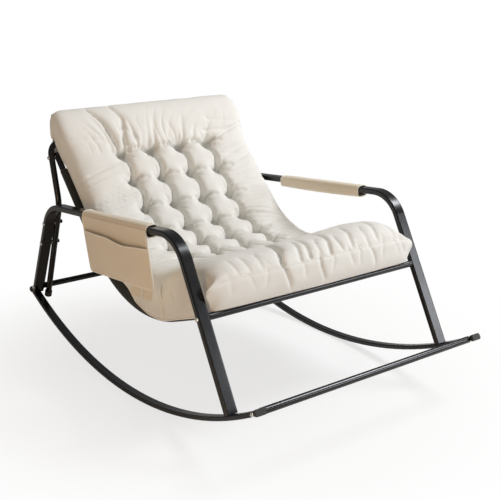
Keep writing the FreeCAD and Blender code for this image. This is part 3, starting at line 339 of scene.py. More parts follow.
# Cushion
CUSHION_FLOOR = 0.0137
TUFT_ROWS = [0.520 + 0.117 * row for row in range(6)]
TUFT_COLUMNS = [-0.1875, -0.0625, 0.0625, 0.1875]
TUFT_PITCH = TUFT_ROWS[1] - TUFT_ROWS[0]
TUFT_DEPTH = 0.050
TOP_ROW = 1.105
# Upper cloth in the side view: from the bottom front edge up the front panel to the seam, over the knee,
# the seat and the back to the head roll, and down behind it (length along the rail, height above its axis)
CROWN = [(-0.015, 0.0065), (-0.027, 0.028), (-0.034, 0.058), (-0.036, 0.090), (-0.020, 0.122),
         (0.018, 0.148), (0.080, 0.163), (0.150, 0.167), (0.300, 0.158), (0.430, 0.147),
         (0.520, 0.138), (0.660, 0.123), (0.810, 0.112), (1.000, 0.110), (1.105, 0.112),
         (1.200, 0.125), (1.255, 0.128), (1.293, 0.121), (1.316, 0.106), (1.317, 0.093),
         (1.298, 0.0766), (1.269, 0.049), (1.238, 0.041)]
FRONT_SEAM = (-0.036, 0.090)


def spline_table(points, steps):
    """Smooth line through the given points as places at even spacing, and its length."""
    fine = 24
    spans = [math.dist(a, b) for a, b in zip(points, points[1:])]
    dense = []
    for here, span in enumerate(spans):
        p1, p2 = Vector(points[here]), Vector(points[here + 1])
        m1 = m2 = p2 - p1
        if here > 0:
            m1 = (p2 - Vector(points[here - 1])) * (span / (spans[here - 1] + span))
        if here + 2 < len(points):
            m2 = (Vector(points[here + 2]) - p1) * (span / (span + spans[here + 1]))
        for step in range(fine):
            t = step / fine
            t2, t3 = t * t, t * t * t
            dense.append(p1 * (2 * t3 - 3 * t2 + 1) + m1 * (t3 - 2 * t2 + t) + p2 * (3 * t2 - 2 * t3)
                         + m2 * (t3 - t2))
    dense.append(Vector(points[-1]))
    lengths = [0.0]
    for a, b in zip(dense, dense[1:]):
        lengths.append(lengths[-1] + (b - a).length)
    table = []
    here = 0
    for step in range(steps + 1):
        goal = lengths[-1] * step / steps
        while here < len(dense) - 2 and lengths[here + 1] < goal:
            here += 1
        share = (goal - lengths[here]) / max(lengths[here + 1] - lengths[here], 1e-9)
        table.append(dense[here].lerp(dense[here + 1], min(max(share, 0), 1)))
    return table, lengths[-1]


ACROSS = 140
ALONG = 176
crown_table, crown_length = spline_table(CROWN, ALONG)
COVER_WIDTH = 1.1
USUAL_HEIGHT = 0.115
USUAL_LIP = 0.012
LIP_HANG = 0.020
KNEE_SWELL = 0.013
EAR = 0.036
EAR_ROWS = 3.0
SEAM_TIP = 0.014
# Lengths along the rail: the underside's ends, where it rises behind the back, and where sections change over
UNDERSIDE_FRONT = 0.004
UNDERSIDE_REAR = 1.238
RISE_START = 1.150
RISE_LENGTH = 0.088
RISE_HEIGHT = 0.0273
SEAT_TO_BACK = (0.27, 0.60)
BACK_TO_HEAD = (1.10, 1.22)
# Half of a section across the cushion, at its usual size: underside, lip that hangs outside the rail,
# full side, rounded shoulder, flat top (distance from the middle, height above the underside)
SEAT_SECTION = [(0.360, 0.0), (0.392, 0.001), (0.3985, -0.004), (0.4015, -0.012), (0.4055, -0.010),
                (0.4065, 0.004), (0.405, 0.026), (0.401, 0.050), (0.392, 0.076), (0.374, 0.098),
                (0.340, 0.111), (0.290, 0.115), (0.200, 0.115), (0.100, 0.115), (0.0, 0.115)]
# Along the back the side is narrower and leaves the rail in view
BACK_SECTION = [(0.358, 0.0), (0.368, 0.001), (0.374, 0.005), (0.380, 0.014), (0.385, 0.028),
                (0.388, 0.045), (0.387, 0.063), (0.381, 0.081), (0.365, 0.099), (0.335, 0.111),
                (0.290, 0.115), (0.200, 0.115), (0.100, 0.115), (0.0, 0.115)]
# The head roll has squarer ends
HEAD_SECTION = [(0.366, 0.0), (0.384, 0.001), (0.391, 0.004), (0.396, 0.013), (0.3985, 0.026),
                (0.4, 0.045), (0.4, 0.065), (0.397, 0.085), (0.388, 0.102), (0.370, 0.112),
                (0.335, 0.115), (0.200, 0.115), (0.100, 0.115), (0.0, 0.115)]


def whole_section(half):
    """Both halves of a section as points at even spacing, heights as shares of the height or of the lip."""
    whole = [(-x, up) for x, up in half] + list(reversed(half[:-1]))
    even, _ = spline_table(whole, ACROSS)
    return [(x, up / (USUAL_LIP if up < 0 else USUAL_HEIGHT)) for x, up in even]


seat_section = whole_section(SEAT_SECTION)
back_section = whole_section(BACK_SECTION)
head_section = whole_section(HEAD_SECTION)


def fade(value, start, end):
    """Smooth step from 0 at the start to 1 at the end, for a number or an array."""
    t = np.clip((value - start) / (end - start), 0, 1)
    return t * t * (3 - 2 * t)


seam_row = min(range(ALONG // 3), key=lambda row: (crown_table[row] - Vector(FRONT_SEAM)).length)
SEAM_AT = seam_row / ALONG * crown_length

# Creases in the upper cloth: points (across, along the rail), depths at both ends, width, sewn or loose
creases = []


def crease(points, deep, shallow, width, sewn=False):
    """Notes a crease: depths at its first and last points and width in millimetres."""
    creases.append((points, deep * MM, shallow * MM, width * MM, sewn))


SCALLOP = 0.013


def scallop(s):
    """How far a column's crease bows aside between its tufts."""
    return SCALLOP * abs(math.sin(math.pi * (s - TUFT_ROWS[0]) / TUFT_PITCH)) ** 0.75


# Scalloped creases down each column, deepest at the tufts, then small folds that leave each tuft
for column in TUFT_COLUMNS:
    for low, high in zip(TUFT_ROWS, TUFT_ROWS[1:]):
        steps = [low + (high - low) * step / 8 for step in range(9)]
        run = [(column + scallop(s), s) for s in steps]
        crease(run[:5], 46, 27, 9, True)
        crease(run[:3:-1], 46, 27, 9, True)
for column in TUFT_COLUMNS:
    for row in TUFT_ROWS:
        crease([(column, row), (column + 0.030, row + 0.012), (column + 0.062, row + 0.004)], 30, 9, 8)
        crease([(column, row), (column - 0.030, row + 0.010), (column - 0.055, row - 0.002)], 22, 3, 9)
        for turn in (-0.9, -0.45, 0.55, 0.95):
            reach = 0.052 + 0.012 * math.sin(9 * row + 5 * column + 7 * turn)
            end = (column + reach * math.cos(turn), row + reach * math.sin(turn))
            crease([(column + 0.008, row + 0.006 * turn), end], 13, 0, 5)
# Brows between the tufts of the top row, under the head roll
for left, right in zip(TUFT_COLUMNS, TUFT_COLUMNS[1:]):
    middle = (left + right) / 2
    for end in (left, right):
        crease([(end, TOP_ROW), ((end + middle) / 2, 1.118), (middle, 1.123)], 28, 16, 12)
# The head roll's right mitre, a long fold beside it, and the gathers that fan up from the top row
crease([(-0.1875, TOP_ROW), (-0.205, 1.165), (-0.222, 1.235), (-0.265, 1.300)], 34, 9, 8, True)
crease([(-0.170, 1.120), (-0.152, 1.190), (-0.140, 1.242), (-0.168, 1.302)], 20, 8, 8)
GATHER_START = 1.115
for column, lean, reach in ((-0.150, -0.030, 0.120), (-0.110, -0.020, 0.150), (-0.062, 0.010, 0.085),
                            (-0.040, 0.030, 0.140), (0.020, 0.020, 0.070), (0.062, -0.020, 0.090),
                            (0.085, 0.030, 0.110), (0.130, 0.030, 0.070), (0.1875, 0.050, 0.080),
                            (-0.215, -0.055, 0.150), (-0.090, 0.004, 0.060)):
    crease([(column, GATHER_START), (column + lean * 0.4, GATHER_START + reach * 0.5),
            (column + lean, GATHER_START + reach)], 12, 1, 8)
# Gathers across both side rolls, from the outer tufts to the side seams
for side in (-1, 1):
    for step in range(22):
        s = 0.400 + 0.038 * step + 0.008 * math.sin(step * 2.4)
        bend = 0.024 * math.sin(step * 1.7 + side)
        near = 0.205 + 0.020 * math.sin(step * 3.1)
        far = 0.345 + 0.030 * math.sin(step * 1.9 + 1)
        deep = (7 if side > 0 else 5) + 3 * math.sin(step * 2.9)
        middle = (side * (near + far) / 2, s + bend * 0.5)
        crease([(side * near, s), middle, (side * far, s + bend)], deep, 2, 8)
# Knee roll: one deep fold down to the front seam, slanting folds beside it (across at the top, along the rail
# at the top, across at the seam, depth), and folds that leave the first row of tufts
crease([(-0.030, 0.230), (-0.050, 0.160), (-0.082, 0.085), (-0.105, 0.020)], 3, 32, 9)
crease([(-0.105, 0.020), (-0.138, -0.024), (-0.142, -0.038)], 26, 22, 7, True)
for x_top, s_top, x_low, deep in ((-0.012, 0.075, -0.068, 12), (0.022, 0.105, -0.030, 14),
                                  (0.052, 0.030, 0.016, 6), (0.115, 0.120, 0.055, 16),
                                  (0.122, 0.020, 0.108, 8), (0.205, 0.085, 0.150, 10),
                                  (0.245, 0.025, 0.222, 5), (0.310, 0.095, 0.262, 9),
                                  (0.350, 0.020, 0.338, 6), (-0.200, 0.020, -0.215, 5),
                                  (-0.260, 0.015, -0.262, 6), (-0.310, 0.012, -0.305, 5)):
    crease([(x_top, s_top), ((x_top + x_low) / 2, 0.010), (x_low, -0.034)], 3, deep, 7)
for column in TUFT_COLUMNS:
    crease([(column, 0.520), (column - 0.020, 0.440), (column - 0.045, 0.340)], 30, 4, 10)
    crease([(column + 0.020, 0.500), (column + 0.040, 0.420), (column + 0.045, 0.350)], 14, 2, 9)


TUFT_REACH = 0.026
TUFT_SEWN = 0.006
CREASE_SEWN = 0.0042


def crease_pull(x, s):
    """How far creases and tufts draw the upper cloth down, and whether it is sewn there."""
    pull, sewn = 0.0, False
    for row in TUFT_ROWS:
        if abs(s - row) < 0.07:
            for column in TUFT_COLUMNS:
                gap = math.hypot(x - column, s - row)
                pull = max(pull, TUFT_DEPTH * math.exp(-(gap / TUFT_REACH) ** 1.3))
                sewn = sewn or gap < TUFT_SEWN
    for points, deep, shallow, width, is_sewn in creases:
        if not points[0][1] - 0.5 < s < points[0][1] + 0.5:
            continue
        total = len(points) - 1
        for here, (a, b) in enumerate(zip(points, points[1:])):
            dx, ds = b[0] - a[0], b[1] - a[1]
            t = min(max(((x - a[0]) * dx + (s - a[1]) * ds) / (dx * dx + ds * ds), 0), 1)
            gap = math.hypot(x - a[0] - t * dx, s - a[1] - t * ds)
            if gap < 4 * width:
                depth = deep + (shallow - deep) * (here + t) / total
                pull = max(pull, depth * math.exp(-gap / width))
                sewn = sewn or (is_sewn and gap < CREASE_SEWN)
    return pull, sewn


# The grid's line nearest to each column of tufts
tuft_lines = [min((spot for spot, _ in back_section), key=lambda spot: abs(spot - column))
              for column in TUFT_COLUMNS]


def crease_shift(x, s):
    """Draws the nearest line of the grid onto a column's crease, so the crease is one clean edge."""
    low, high, ease = TUFT_ROWS[0], TUFT_ROWS[-1], 0.05
    reach = float(fade(s, low - ease, low)) * (1 - float(fade(s, high, high + ease)))
    shift = 0.0
    for column, line in zip(TUFT_COLUMNS, tuft_lines):
        shift += (column - line + scallop(s)) * math.exp(-((x - line) / 0.040) ** 2)
    return shift * reach


def cushion_point(column, row):
    """Place on the cover: columns run from one lower side edge over the top to the other."""
    s_top, n_top = crown_table[row]
    s_low = min(max(s_top, UNDERSIDE_FRONT), UNDERSIDE_REAR) if row else s_top
    n_low = CUSHION_FLOOR
    if s_low >= RISE_START:
        n_low = CUSHION_FLOOR + (s_low - RISE_START) / RISE_LENGTH * RISE_HEIGHT
    n_low = min(n_low, n_top)
    head = float(fade(s_top, *BACK_TO_HEAD))
    seat = 1 - float(fade(s_top, *SEAT_TO_BACK))
    section = Vector(back_section[column]).lerp(Vector(seat_section[column]), seat)
    x, up = section.lerp(Vector(head_section[column]), head)
    if up > 0.9:
        x += crease_shift(x, s_top)
        if row > seam_row:
            n_top += KNEE_SWELL * float(fade(x, 0.02, 0.32)) * (1 - float(fade(s_top, 0.14, 0.28)))
    thick = n_top - n_low
    full = min(thick / USUAL_HEIGHT, 1)
    if up < 0:
        n = n_low + up * LIP_HANG * full * seat
    else:
        n = n_low + thick * up
    ear = EAR * math.exp(-((row - seam_row) / EAR_ROWS) ** 2) * min(max(up, 0), 1)
    x += math.copysign(ear * float(fade(abs(x), 0.29, 0.385)), x)
    s = s_low + (s_top - s_low) * min(max(up, 0), 1)
    sewn = False
    if up > 0.6 and row > seam_row:
        pull, sewn = crease_pull(x, s)
        n -= pull * min((up - 0.6) * 4, 1)
    return x, s, n, up, sewn


def make_cushion():
    """The cover before it swells: held marks what is sewn, and the laid values stay with each point."""
    bm = bmesh.new()
    uv = bm.loops.layers.uv.new("cloth")
    bmesh.ops.create_grid(bm, x_segments=ACROSS, y_segments=ALONG, size=0.5, calc_uvs=True)
    for face in bm.faces:
        for loop in face.loops:
            across, along = loop.vert.co.x + 0.5, loop.vert.co.y + 0.5
            loop[uv].uv = Vector((across * COVER_WIDTH, along * crown_length))
    held = bm.verts.layers.float.new("held")
    laid = [bm.verts.layers.float.new(name) for name in ("laid_x", "laid_s", "laid_path", "laid_up")]
    left, right, first, last = {}, {}, {}, {}
    for vert in bm.verts:
        column = round((vert.co.x + 0.5) * ACROSS)
        row = round((vert.co.y + 0.5) * ALONG)
        x, s, n, up, sewn = cushion_point(column, row)
        vert.co = on_rail(x, s, n)
        for layer, value in zip(laid, (x, s, row / ALONG * crown_length, up)):
            vert[layer] = value
        edge = column in (0, ACROSS) or row in (0, ALONG)
        vert[held] = 1.0 if edge or sewn else 0.0
        if column == 0:
            left[row] = vert
        if column == ACROSS:
            right[row] = vert
        if row == 0:
            first[column] = vert
        if row == ALONG:
            last[column] = vert
    # Underside, one strip from side to side for each row of the cover
    bm.faces.new([first[c] for c in range(ACROSS + 1)] + [right[1], left[1]])
    for row in range(1, ALONG - 1):
        bm.faces.new([left[row], right[row], right[row + 1], left[row + 1]])
    bm.faces.new([left[ALONG - 1], right[ALONG - 1]] + [last[c] for c in range(ACROSS, -1, -1)])
    bmesh.ops.recalc_face_normals(bm, faces=bm.faces)
    bm.verts.index_update()
    holds = [vert.index for vert in bm.verts if vert[held] > 0.5]
    piece = finish_piece("cushion_cover", bm, COTTON)
    piece.vertex_groups.new(name="held").add(holds, 1.0, "REPLACE")
    return piece


def puff_up(piece, frames, pressure, growth, cap):
    """Swells the cover like its filling does: held where it is sewn and along its lower edges.

    The cloth grows by a share so that it can fold, and no point moves further than the cap.
    """
    start = [vert.co.copy() for vert in piece.data.vertices]
    cloth = piece.modifiers.new("filling", "CLOTH")
    settings = cloth.settings
    settings.quality = 6
    settings.mass = 0.3
    settings.air_damping = 3
    settings.tension_stiffness = 18
    settings.compression_stiffness = 18
    settings.shear_stiffness = 6
    settings.bending_stiffness = 0.06
    settings.use_pressure = True
    settings.uniform_pressure_force = pressure
    settings.shrink_min = -growth
    settings.vertex_group_mass = "held"
    settings.effector_weights.gravity = 0
    cloth.point_cache.frame_start = 1
    cloth.point_cache.frame_end = frames
    for number in range(1, frames + 1):
        scene.frame_set(number)
    swollen = piece.evaluated_get(bpy.context.evaluated_depsgraph_get())
    ends = [vert.co.copy() for vert in swollen.data.vertices]
    piece.modifiers.remove(cloth)
    scene.frame_set(1)
    for vert, before, after in zip(piece.data.vertices, start, ends):
        move = after - before
        if move.length > cap:
            move *= cap / move.length
        vert.co = before + move
    piece.data.update()


def refine(piece):
    """One step of subdivision, made part of the mesh."""
    soften(piece)
    smooth = piece.evaluated_get(bpy.context.evaluated_depsgraph_get())
    mesh = bpy.data.meshes.new_from_object(smooth)
    piece.modifiers.clear()
    piece.data = mesh
    mesh.shade_smooth()


# Fine folds, as depths at every point of the swollen cover: x across, s along the rail, path along the cloth
# from its front edge, and up as a share of the section's height
FAN_PLEATS = 11
FAN_DEPTH = 7.5 * MM
FAN_RADIUS = 0.028
FAN_SPREAD = 0.019
SEWN_SHARE, SEWN_WIDTH = 0.70, 0.0022
LOOSE_SHARE, LOOSE_WIDTH = 0.42, 0.0058
MITRE_DEPTH, MITRE_WIDTH, MITRE_SLANT = 10 * MM, 0.0055, 0.34
PLEAT_DEPTHS = ((-1, 7.0 * MM), (1, 10.0 * MM))
PLEAT_PITCH = 0.024
GATHER_PITCH = 0.044
KNEE_PITCH = 0.033
WALL_PITCH, WALL_DEPTH = 0.026, 6.5 * MM
GROOVE_DEPTH, GROOVE_WIDTH = 3.0 * MM, 0.0045
DRIFT_SCALE, DRIFT_HEIGHT = 16, 1.8 * MM
# Folds of the front panel: place across, depth and width in millimetres, and how far they lean
FRONT_FOLDS = [
    (-0.132, 17, 6.5, 0.2), (-0.066, 4, 9, 0.3), (0.010, 13, 6, 0.1), (0.060, 4.5, 7, -0.3),
    (0.135, 4.5, 8, 0.4), (0.172, 4, 6, 0.1), (0.226, 6.5, 7, 0.3), (0.282, 4, 7, -0.3),
    (0.335, 3, 9, 0.3), (0.368, 5, 7, 0.2), (-0.205, 4, 7, -0.4), (-0.268, 3, 8, 0.3),
    (-0.345, 3, 10, 0.3),
]


def ridges(phase, sharp=2.5):
    """Narrow folds, one for each whole step of the phase."""
    return (1 - np.abs(np.sin(np.pi * phase))) ** sharp


def between(value, rise, fall):
    """Smooth band: grows from 0 to 1 over the rise and goes back to 0 over the fall."""
    return fade(value, *rise) * (1 - fade(value, *fall))


def tuft_fans(x, s):
    """Short pleats around every tuft."""
    depth = np.zeros(len(x))
    for number, row in enumerate(TUFT_ROWS):
        for column in TUFT_COLUMNS:
            dx, ds = x - column, s - row
            turn = np.arctan2(ds, dx)
            seed = number * 1.7 + column * 31
            uneven = 0.55 + 0.45 * np.sin(2 * turn + seed)
            pleats = ridges(turn * FAN_PLEATS / (2 * np.pi) + 0.35 * np.sin(3 * turn + seed) + seed)
            ring = np.exp(-((np.hypot(dx, ds) - FAN_RADIUS) / FAN_SPREAD) ** 2)
            depth += FAN_DEPTH * pleats * uneven * ring
    return depth


def crease_lines(x, s):
    """Every crease once more on the swollen cloth: sewn ones as sharp lines, loose ones as soft hollows."""
    depth = np.zeros(len(x))
    for points, deep, shallow, _, is_sewn in creases:
        total = len(points) - 1
        nearest = np.full(len(x), 1.0)
        share = np.zeros(len(x))
        for here, (a, b) in enumerate(zip(points, points[1:])):
            dx, ds = b[0] - a[0], b[1] - a[1]
            t = np.clip(((x - a[0]) * dx + (s - a[1]) * ds) / (dx * dx + ds * ds), 0, 1)
            gap = np.hypot(x - a[0] - t * dx, s - a[1] - t * ds)
            closer = gap < nearest
            nearest = np.where(closer, gap, nearest)
            share = np.where(closer, (here + t) / total, share)
        if is_sewn:
            line = SEWN_SHARE * np.exp(-nearest / SEWN_WIDTH)
        else:
            line = LOOSE_SHARE * np.exp(-(nearest / LOOSE_WIDTH) ** 2)
        depth += (deep + (shallow - deep) * share) * line
    return depth


def left_mitre(x, s):
    """Straight mitre of the head roll's left corner, from the last tuft to the side."""
    line = TOP_ROW + MITRE_SLANT * (x - TUFT_COLUMNS[-1])
    groove = np.exp(-((s - line) / MITRE_WIDTH) ** 2)
    return MITRE_DEPTH * groove * between(x, (0.180, 0.200), (0.375, 0.395))


def side_pleats(x, s):
    """Gathers across both side rolls."""
    depth = np.zeros(len(x))
    for side, deepest in PLEAT_DEPTHS:
        out = x * side
        slant = 2.2 * (out - 0.2) / 0.2 * np.sin(s * 8.3 + 1 + side)
        pleats = ridges(s / PLEAT_PITCH + 0.9 * np.sin(s * 21 + side) + slant)
        group = np.clip(0.60 + 0.40 * np.sin(s * 37 + out * 14 + 2), 0, 1)
        reach = between(out, (0.195, 0.225), (0.375, 0.400)) * between(s, (0.30, 0.40), (1.03, 1.10))
        depth += deepest * pleats * group * reach
    return depth


def head_gathers(x, s):
    """Folds up the head roll from the top row of tufts, stronger on the pocket's side."""
    rise = np.clip(s - TOP_ROW, 0, 0.2)
    spread = x * (1 - 0.9 * rise)
    phase = spread / GATHER_PITCH + 0.8 * np.sin(spread * 19) + 0.6 * np.sin(rise * 22 + spread * 9)
    deepest = np.where(x < 0.02, 4.8 * MM, 2.6 * MM) * (0.6 + 0.4 * np.sin(x * 41 + 1))
    reach = between(s, (TOP_ROW, 1.125), (1.20, 1.30)) * (1 - fade(np.abs(x), 0.26, 0.34))
    return deepest * ridges(phase, 2) * reach


def knee_folds(x, s, path):
    """Slanting folds over the knee roll that deepen towards the front seam."""
    phase = (x + 0.5 * (s + 0.03)) / KNEE_PITCH + 0.7 * np.sin(x * 23)
    deepest = np.where(x > -0.14, 1.0 * MM, 1.4 * MM) * (0.65 + 0.35 * np.sin(x * 33 + 2))
    reach = fade(path, SEAM_AT - 0.004, SEAM_AT + 0.012) * (1 - fade(s, 0.03, 0.13))
    return deepest * ridges(phase, 1.8) * reach * (1 - fade(np.abs(x), 0.37, 0.40))


def front_folds(x, path):
    """Upright folds of the front panel, and the groove along the front seam."""
    depth = GROOVE_DEPTH * np.exp(-((path - SEAM_AT) / GROOVE_WIDTH) ** 2)
    for fold, deepest, wide, lean in FRONT_FOLDS:
        line = fold + lean * (SEAM_AT - path) * 0.5 + 4 * MM * np.sin(path * 60 + fold * 50)
        gap = np.abs(x - line) / (wide * MM)
        foot = 0.004 if deepest > 6 else 0.030
        reach = between(path, (foot, foot + 0.04), (SEAM_AT + 0.002, SEAM_AT + 0.03))
        depth += deepest * MM * (np.exp(-gap) - 0.35 * np.exp(-gap / 3)) * reach
    return depth


def wall_folds(x, s, path, up):
    """Folds of both side panels by the knee."""
    folds = ridges(s / WALL_PITCH + 0.6 * np.sin(s * 40 + up * 3), 2)
    reach = fade(np.abs(x), 0.385, 0.398) * between(up, (0.0, 0.12), (0.62, 0.85))
    reach *= (1 - fade(s, 0.40, 0.60)) * fade(path, SEAM_AT, SEAM_AT + 0.03)
    return WALL_DEPTH * folds * reach


def crumple(piece):
    """Adds the fine folds to the cover, pulls out the front seam's corners and makes the filling uneven."""
    mesh = piece.data
    count = len(mesh.vertices)
    place = np.empty(count * 3)
    normal = np.empty(count * 3)
    mesh.vertices.foreach_get("co", place)
    mesh.vertices.foreach_get("normal", normal)
    x, s, path, up = (np.empty(count) for _ in range(4))
    for name, values in (("laid_x", x), ("laid_s", s), ("laid_path", path), ("laid_up", up)):
        mesh.attributes[name].data.foreach_get("value", values)
    top = fade(up, 0.45, 0.75) * fade(path, SEAM_AT, SEAM_AT + 0.02)
    depth = tuft_fans(x, s) + crease_lines(x, s) + left_mitre(x, s) + side_pleats(x, s) + head_gathers(x, s)
    depth = depth * top + knee_folds(x, s, path) + wall_folds(x, s, path, up)
    depth += front_folds(x, path) * fade(up, 0.2, 0.5)
    uneven = np.array([noise.noise(Vector((a * DRIFT_SCALE, b * DRIFT_SCALE, 3.0))) for a, b in zip(x, path)])
    move = DRIFT_HEIGHT * uneven * top - depth
    corner = fade(np.abs(x), 0.365, 0.405) * np.exp(-((path - SEAM_AT) / 0.009) ** 2) * fade(up, 0.25, 0.6)
    place[0::3] += np.sign(x) * SEAM_TIP * corner
    place += (normal.reshape(-1, 3) * move[:, None]).ravel()
    mesh.vertices.foreach_set("co", place)
    mesh.update()


cushion = make_cushion()
puff_up(cushion, frames=22, pressure=4.5, growth=0.08, cap=0.032)
refine(cushion)
crumple(cushion)
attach(cushion, "root")
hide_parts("cushion")


def on_cover(column, row, out):
    """Place just outside the finished cover."""
    vert = cushion.data.vertices[row * (ACROSS + 1) + column]
    return vert.co + vert.normal * out


def row_at(length):
    """Row of the cover at a length along the rail."""
    return min(range(seam_row, ALONG), key=lambda row: abs(crown_table[row][0] - length))


LIP_COLUMN = min(range(ACROSS // 2), key=lambda column: seat_section[column][1])
SHOULDER_COLUMN = min(range(ACROSS // 2), key=lambda column: abs(seat_section[column][1] - 0.72))
SIDE_SEAM_ROW = row_at(0.292)
LIP_END_ROW = row_at(0.700)
SEAM_LIFT, CORD_LIFT = 0.4 * MM, 1.8 * MM
front_columns = range(SHOULDER_COLUMN, ACROSS + 1 - SHOULDER_COLUMN)
side_columns = range(LIP_COLUMN, SHOULDER_COLUMN)
lip_rows = range(seam_row + 3, LIP_END_ROW)
seam_lines = {
    "front_seam_cord": [on_cover(c, seam_row, SEAM_LIFT) for c in front_columns],
    "right_side_seam_cord": [on_cover(c, SIDE_SEAM_ROW, CORD_LIFT) for c in side_columns],
    "left_side_seam_cord": [on_cover(ACROSS - c, SIDE_SEAM_ROW, CORD_LIFT) for c in side_columns],
    "right_lip_cord": [on_cover(LIP_COLUMN + 1, row, CORD_LIFT) for row in lip_rows],
    "left_lip_cord": [on_cover(ACROSS - LIP_COLUMN - 1, row, CORD_LIFT) for row in lip_rows],
}
for name, points in seam_lines.items():
    is_front = name == "front_seam_cord"
    cord = piping(name, points, (1.0 if is_front else 2.2) * MM, COTTON if is_front else PIPING)
    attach(cord, "root")


# Hood behind the head roll
HOOD_WIDTH = 0.776
hood_low, hood_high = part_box("cushion_hood")
HOOD_HEIGHT = hood_high.z - hood_low.z


def hood_place(across, up):
    """Flat behind the head roll, with soft upright folds towards its lower edge."""
    x = (across - 0.5) * HOOD_WIDTH
    z = hood_low.z + up * (HOOD_HEIGHT - 4 * MM)
    hang = (1 - up) ** 1.5
    fold = 1.5 * MM * math.sin(across * 34 + 1.3 * math.sin(across * 9)) * hang
    return Vector((x, hood_low.y + 1.8 * MM + abs(fold), z))


hood = cloth_grid("hood_panel", 96, 24, (HOOD_WIDTH, HOOD_HEIGHT), hood_place, COTTON)
thicken(hood, 1.6 * MM)
soften(hood)
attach(hood, "root")
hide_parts("cushion_hood")


# Sleeves on the arms
SLEEVE_FRONT = 0.150
SLEEVE_SAG = 0.013
SLEEVE_GAP = 1.6 * MM
SLEEVE_ROUND = 0.011
SLEEVE_CROWN = 0.003
RING_STEPS = 40
SLEEVE_WIDTH = ARM_WIDTH + 2 * SLEEVE_GAP
SLEEVE_HEIGHT = ARM_THICK + SLEEVE_SAG + 2 * SLEEVE_GAP
SLEEVE_GIRTH = 2 * (SLEEVE_WIDTH + SLEEVE_HEIGHT) - (8 - 2 * math.pi) * SLEEVE_ROUND


def around_sleeve(share):
    """Point of the sleeve's rounded section, from the middle of its underside all the way round."""
    w, h, r = SLEEVE_WIDTH / 2, SLEEVE_HEIGHT / 2, SLEEVE_ROUND
    runs = [(w - r), r * math.pi / 2, 2 * (h - r), r * math.pi / 2, 2 * (w - r), r * math.pi / 2,
            2 * (h - r), r * math.pi / 2, (w - r)]
    goal = share * sum(runs)
    here = 0
    while here < len(runs) - 1 and goal > runs[here]:
        goal -= runs[here]
        here += 1
    turn = goal / r
    spots = [
        (goal, -h), (w - r + r * math.sin(turn), -h + r - r * math.cos(turn)), (w, -h + r + goal),
        (w - r + r * math.cos(turn), h - r + r * math.sin(turn)), (w - r - goal, h),
        (-w + r - r * math.sin(turn), h - r + r * math.cos(turn)), (-w, h - r - goal),
        (-w + r - r * math.cos(turn), -h + r - r * math.sin(turn)), (-w + r + goal, -h),
    ]
    x, up = spots[here]
    crown = SLEEVE_CROWN * (1 - (x / w) ** 2) if up > 0 else 0
    return x, up + crown - SLEEVE_SAG / 2


def make_sleeve(side, sign, length):
    """Canvas tube round an arm, tight above and loose below, with a cord at each mouth."""
    def place(around, along):
        x, up = around_sleeve(around)
        at = SLEEVE_FRONT + length * along
        loose = max(-up - ARM_THICK / 2, 0) / SLEEVE_SAG
        ripple = noise.noise(Vector((x * 60, at * 22, sign * 5))) * 1.6 * MM * loose
        sag = 2.5 * MM * loose * math.sin(math.pi * along)
        return on_arm(sign * ARM_X + x + ripple, at, up - sag)

    sleeve = cloth_grid(f"{side}_sleeve", 64, 90, (SLEEVE_GIRTH, length), place, CANVAS)
    bm = bmesh.new()
    bm.from_mesh(sleeve.data)
    bmesh.ops.remove_doubles(bm, verts=bm.verts, dist=0.05 * MM)
    bmesh.ops.recalc_face_normals(bm, faces=bm.faces)
    bm.to_mesh(sleeve.data)
    bm.free()
    thicken(sleeve, 1.4 * MM, offset=1.0)
    soften(sleeve)
    trims = []
    for end, along in (("front", SLEEVE_FRONT), ("rear", SLEEVE_FRONT + length)):
        ring = []
        for step in range(RING_STEPS):
            x, up = around_sleeve(step / RING_STEPS)
            ring.append(on_arm(sign * ARM_X + x * 1.03, along, up + SLEEVE_SAG * 0.02))
        trims.append(piping(f"{side}_sleeve_{end}_piping", ring, 2.2 * MM, PIPING, closed=True))
    for trim in trims:
        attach(trim, "root")
    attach(sleeve, "root")
    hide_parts(f"{side}_arm_sleeve")


make_sleeve("right", -1, 0.412)
make_sleeve("left", 1, 0.435)


# Pocket on the right arm
POCKET_FRONT = 0.147
POCKET_REAR = 0.561
POCKET_FRONT_SHIFT = 0.024
POCKET_REAR_SHIFT = 0.031
POCKET_DROP = 0.186
POCKET_TOP = -0.002
MOUTH_REAR = 0.047
MOUTH_FRONT = 0.057
MOUTH_DIP = 0.009
POCKET_DEPTH = 0.013
POCKET_X = -0.4644
POCKET_WIDTH = POCKET_REAR - POCKET_FRONT
FACE_HEIGHT = 0.134
EDGE_EASE = 0.018


def pocket_spot(share, drop):
    """Place on the pocket's back plane: share of its width from the front edge, drop below the arm's axis."""
    down = drop / POCKET_DROP
    front = POCKET_FRONT - POCKET_FRONT_SHIFT * down
    rear = POCKET_REAR - POCKET_REAR_SHIFT * down
    return on_arm(POCKET_X, front + (rear - front) * share, -drop)


def mouth_drop(share):
    """The pocket's mouth below the arm's axis: straight behind, dipping in its front half."""
    dip = math.exp(-((share - 0.34) / 0.17) ** 2) - math.exp(-((share + 0.34) / 0.17) ** 2)
    return MOUTH_FRONT + (MOUTH_REAR - MOUTH_FRONT) * share + MOUTH_DIP * dip


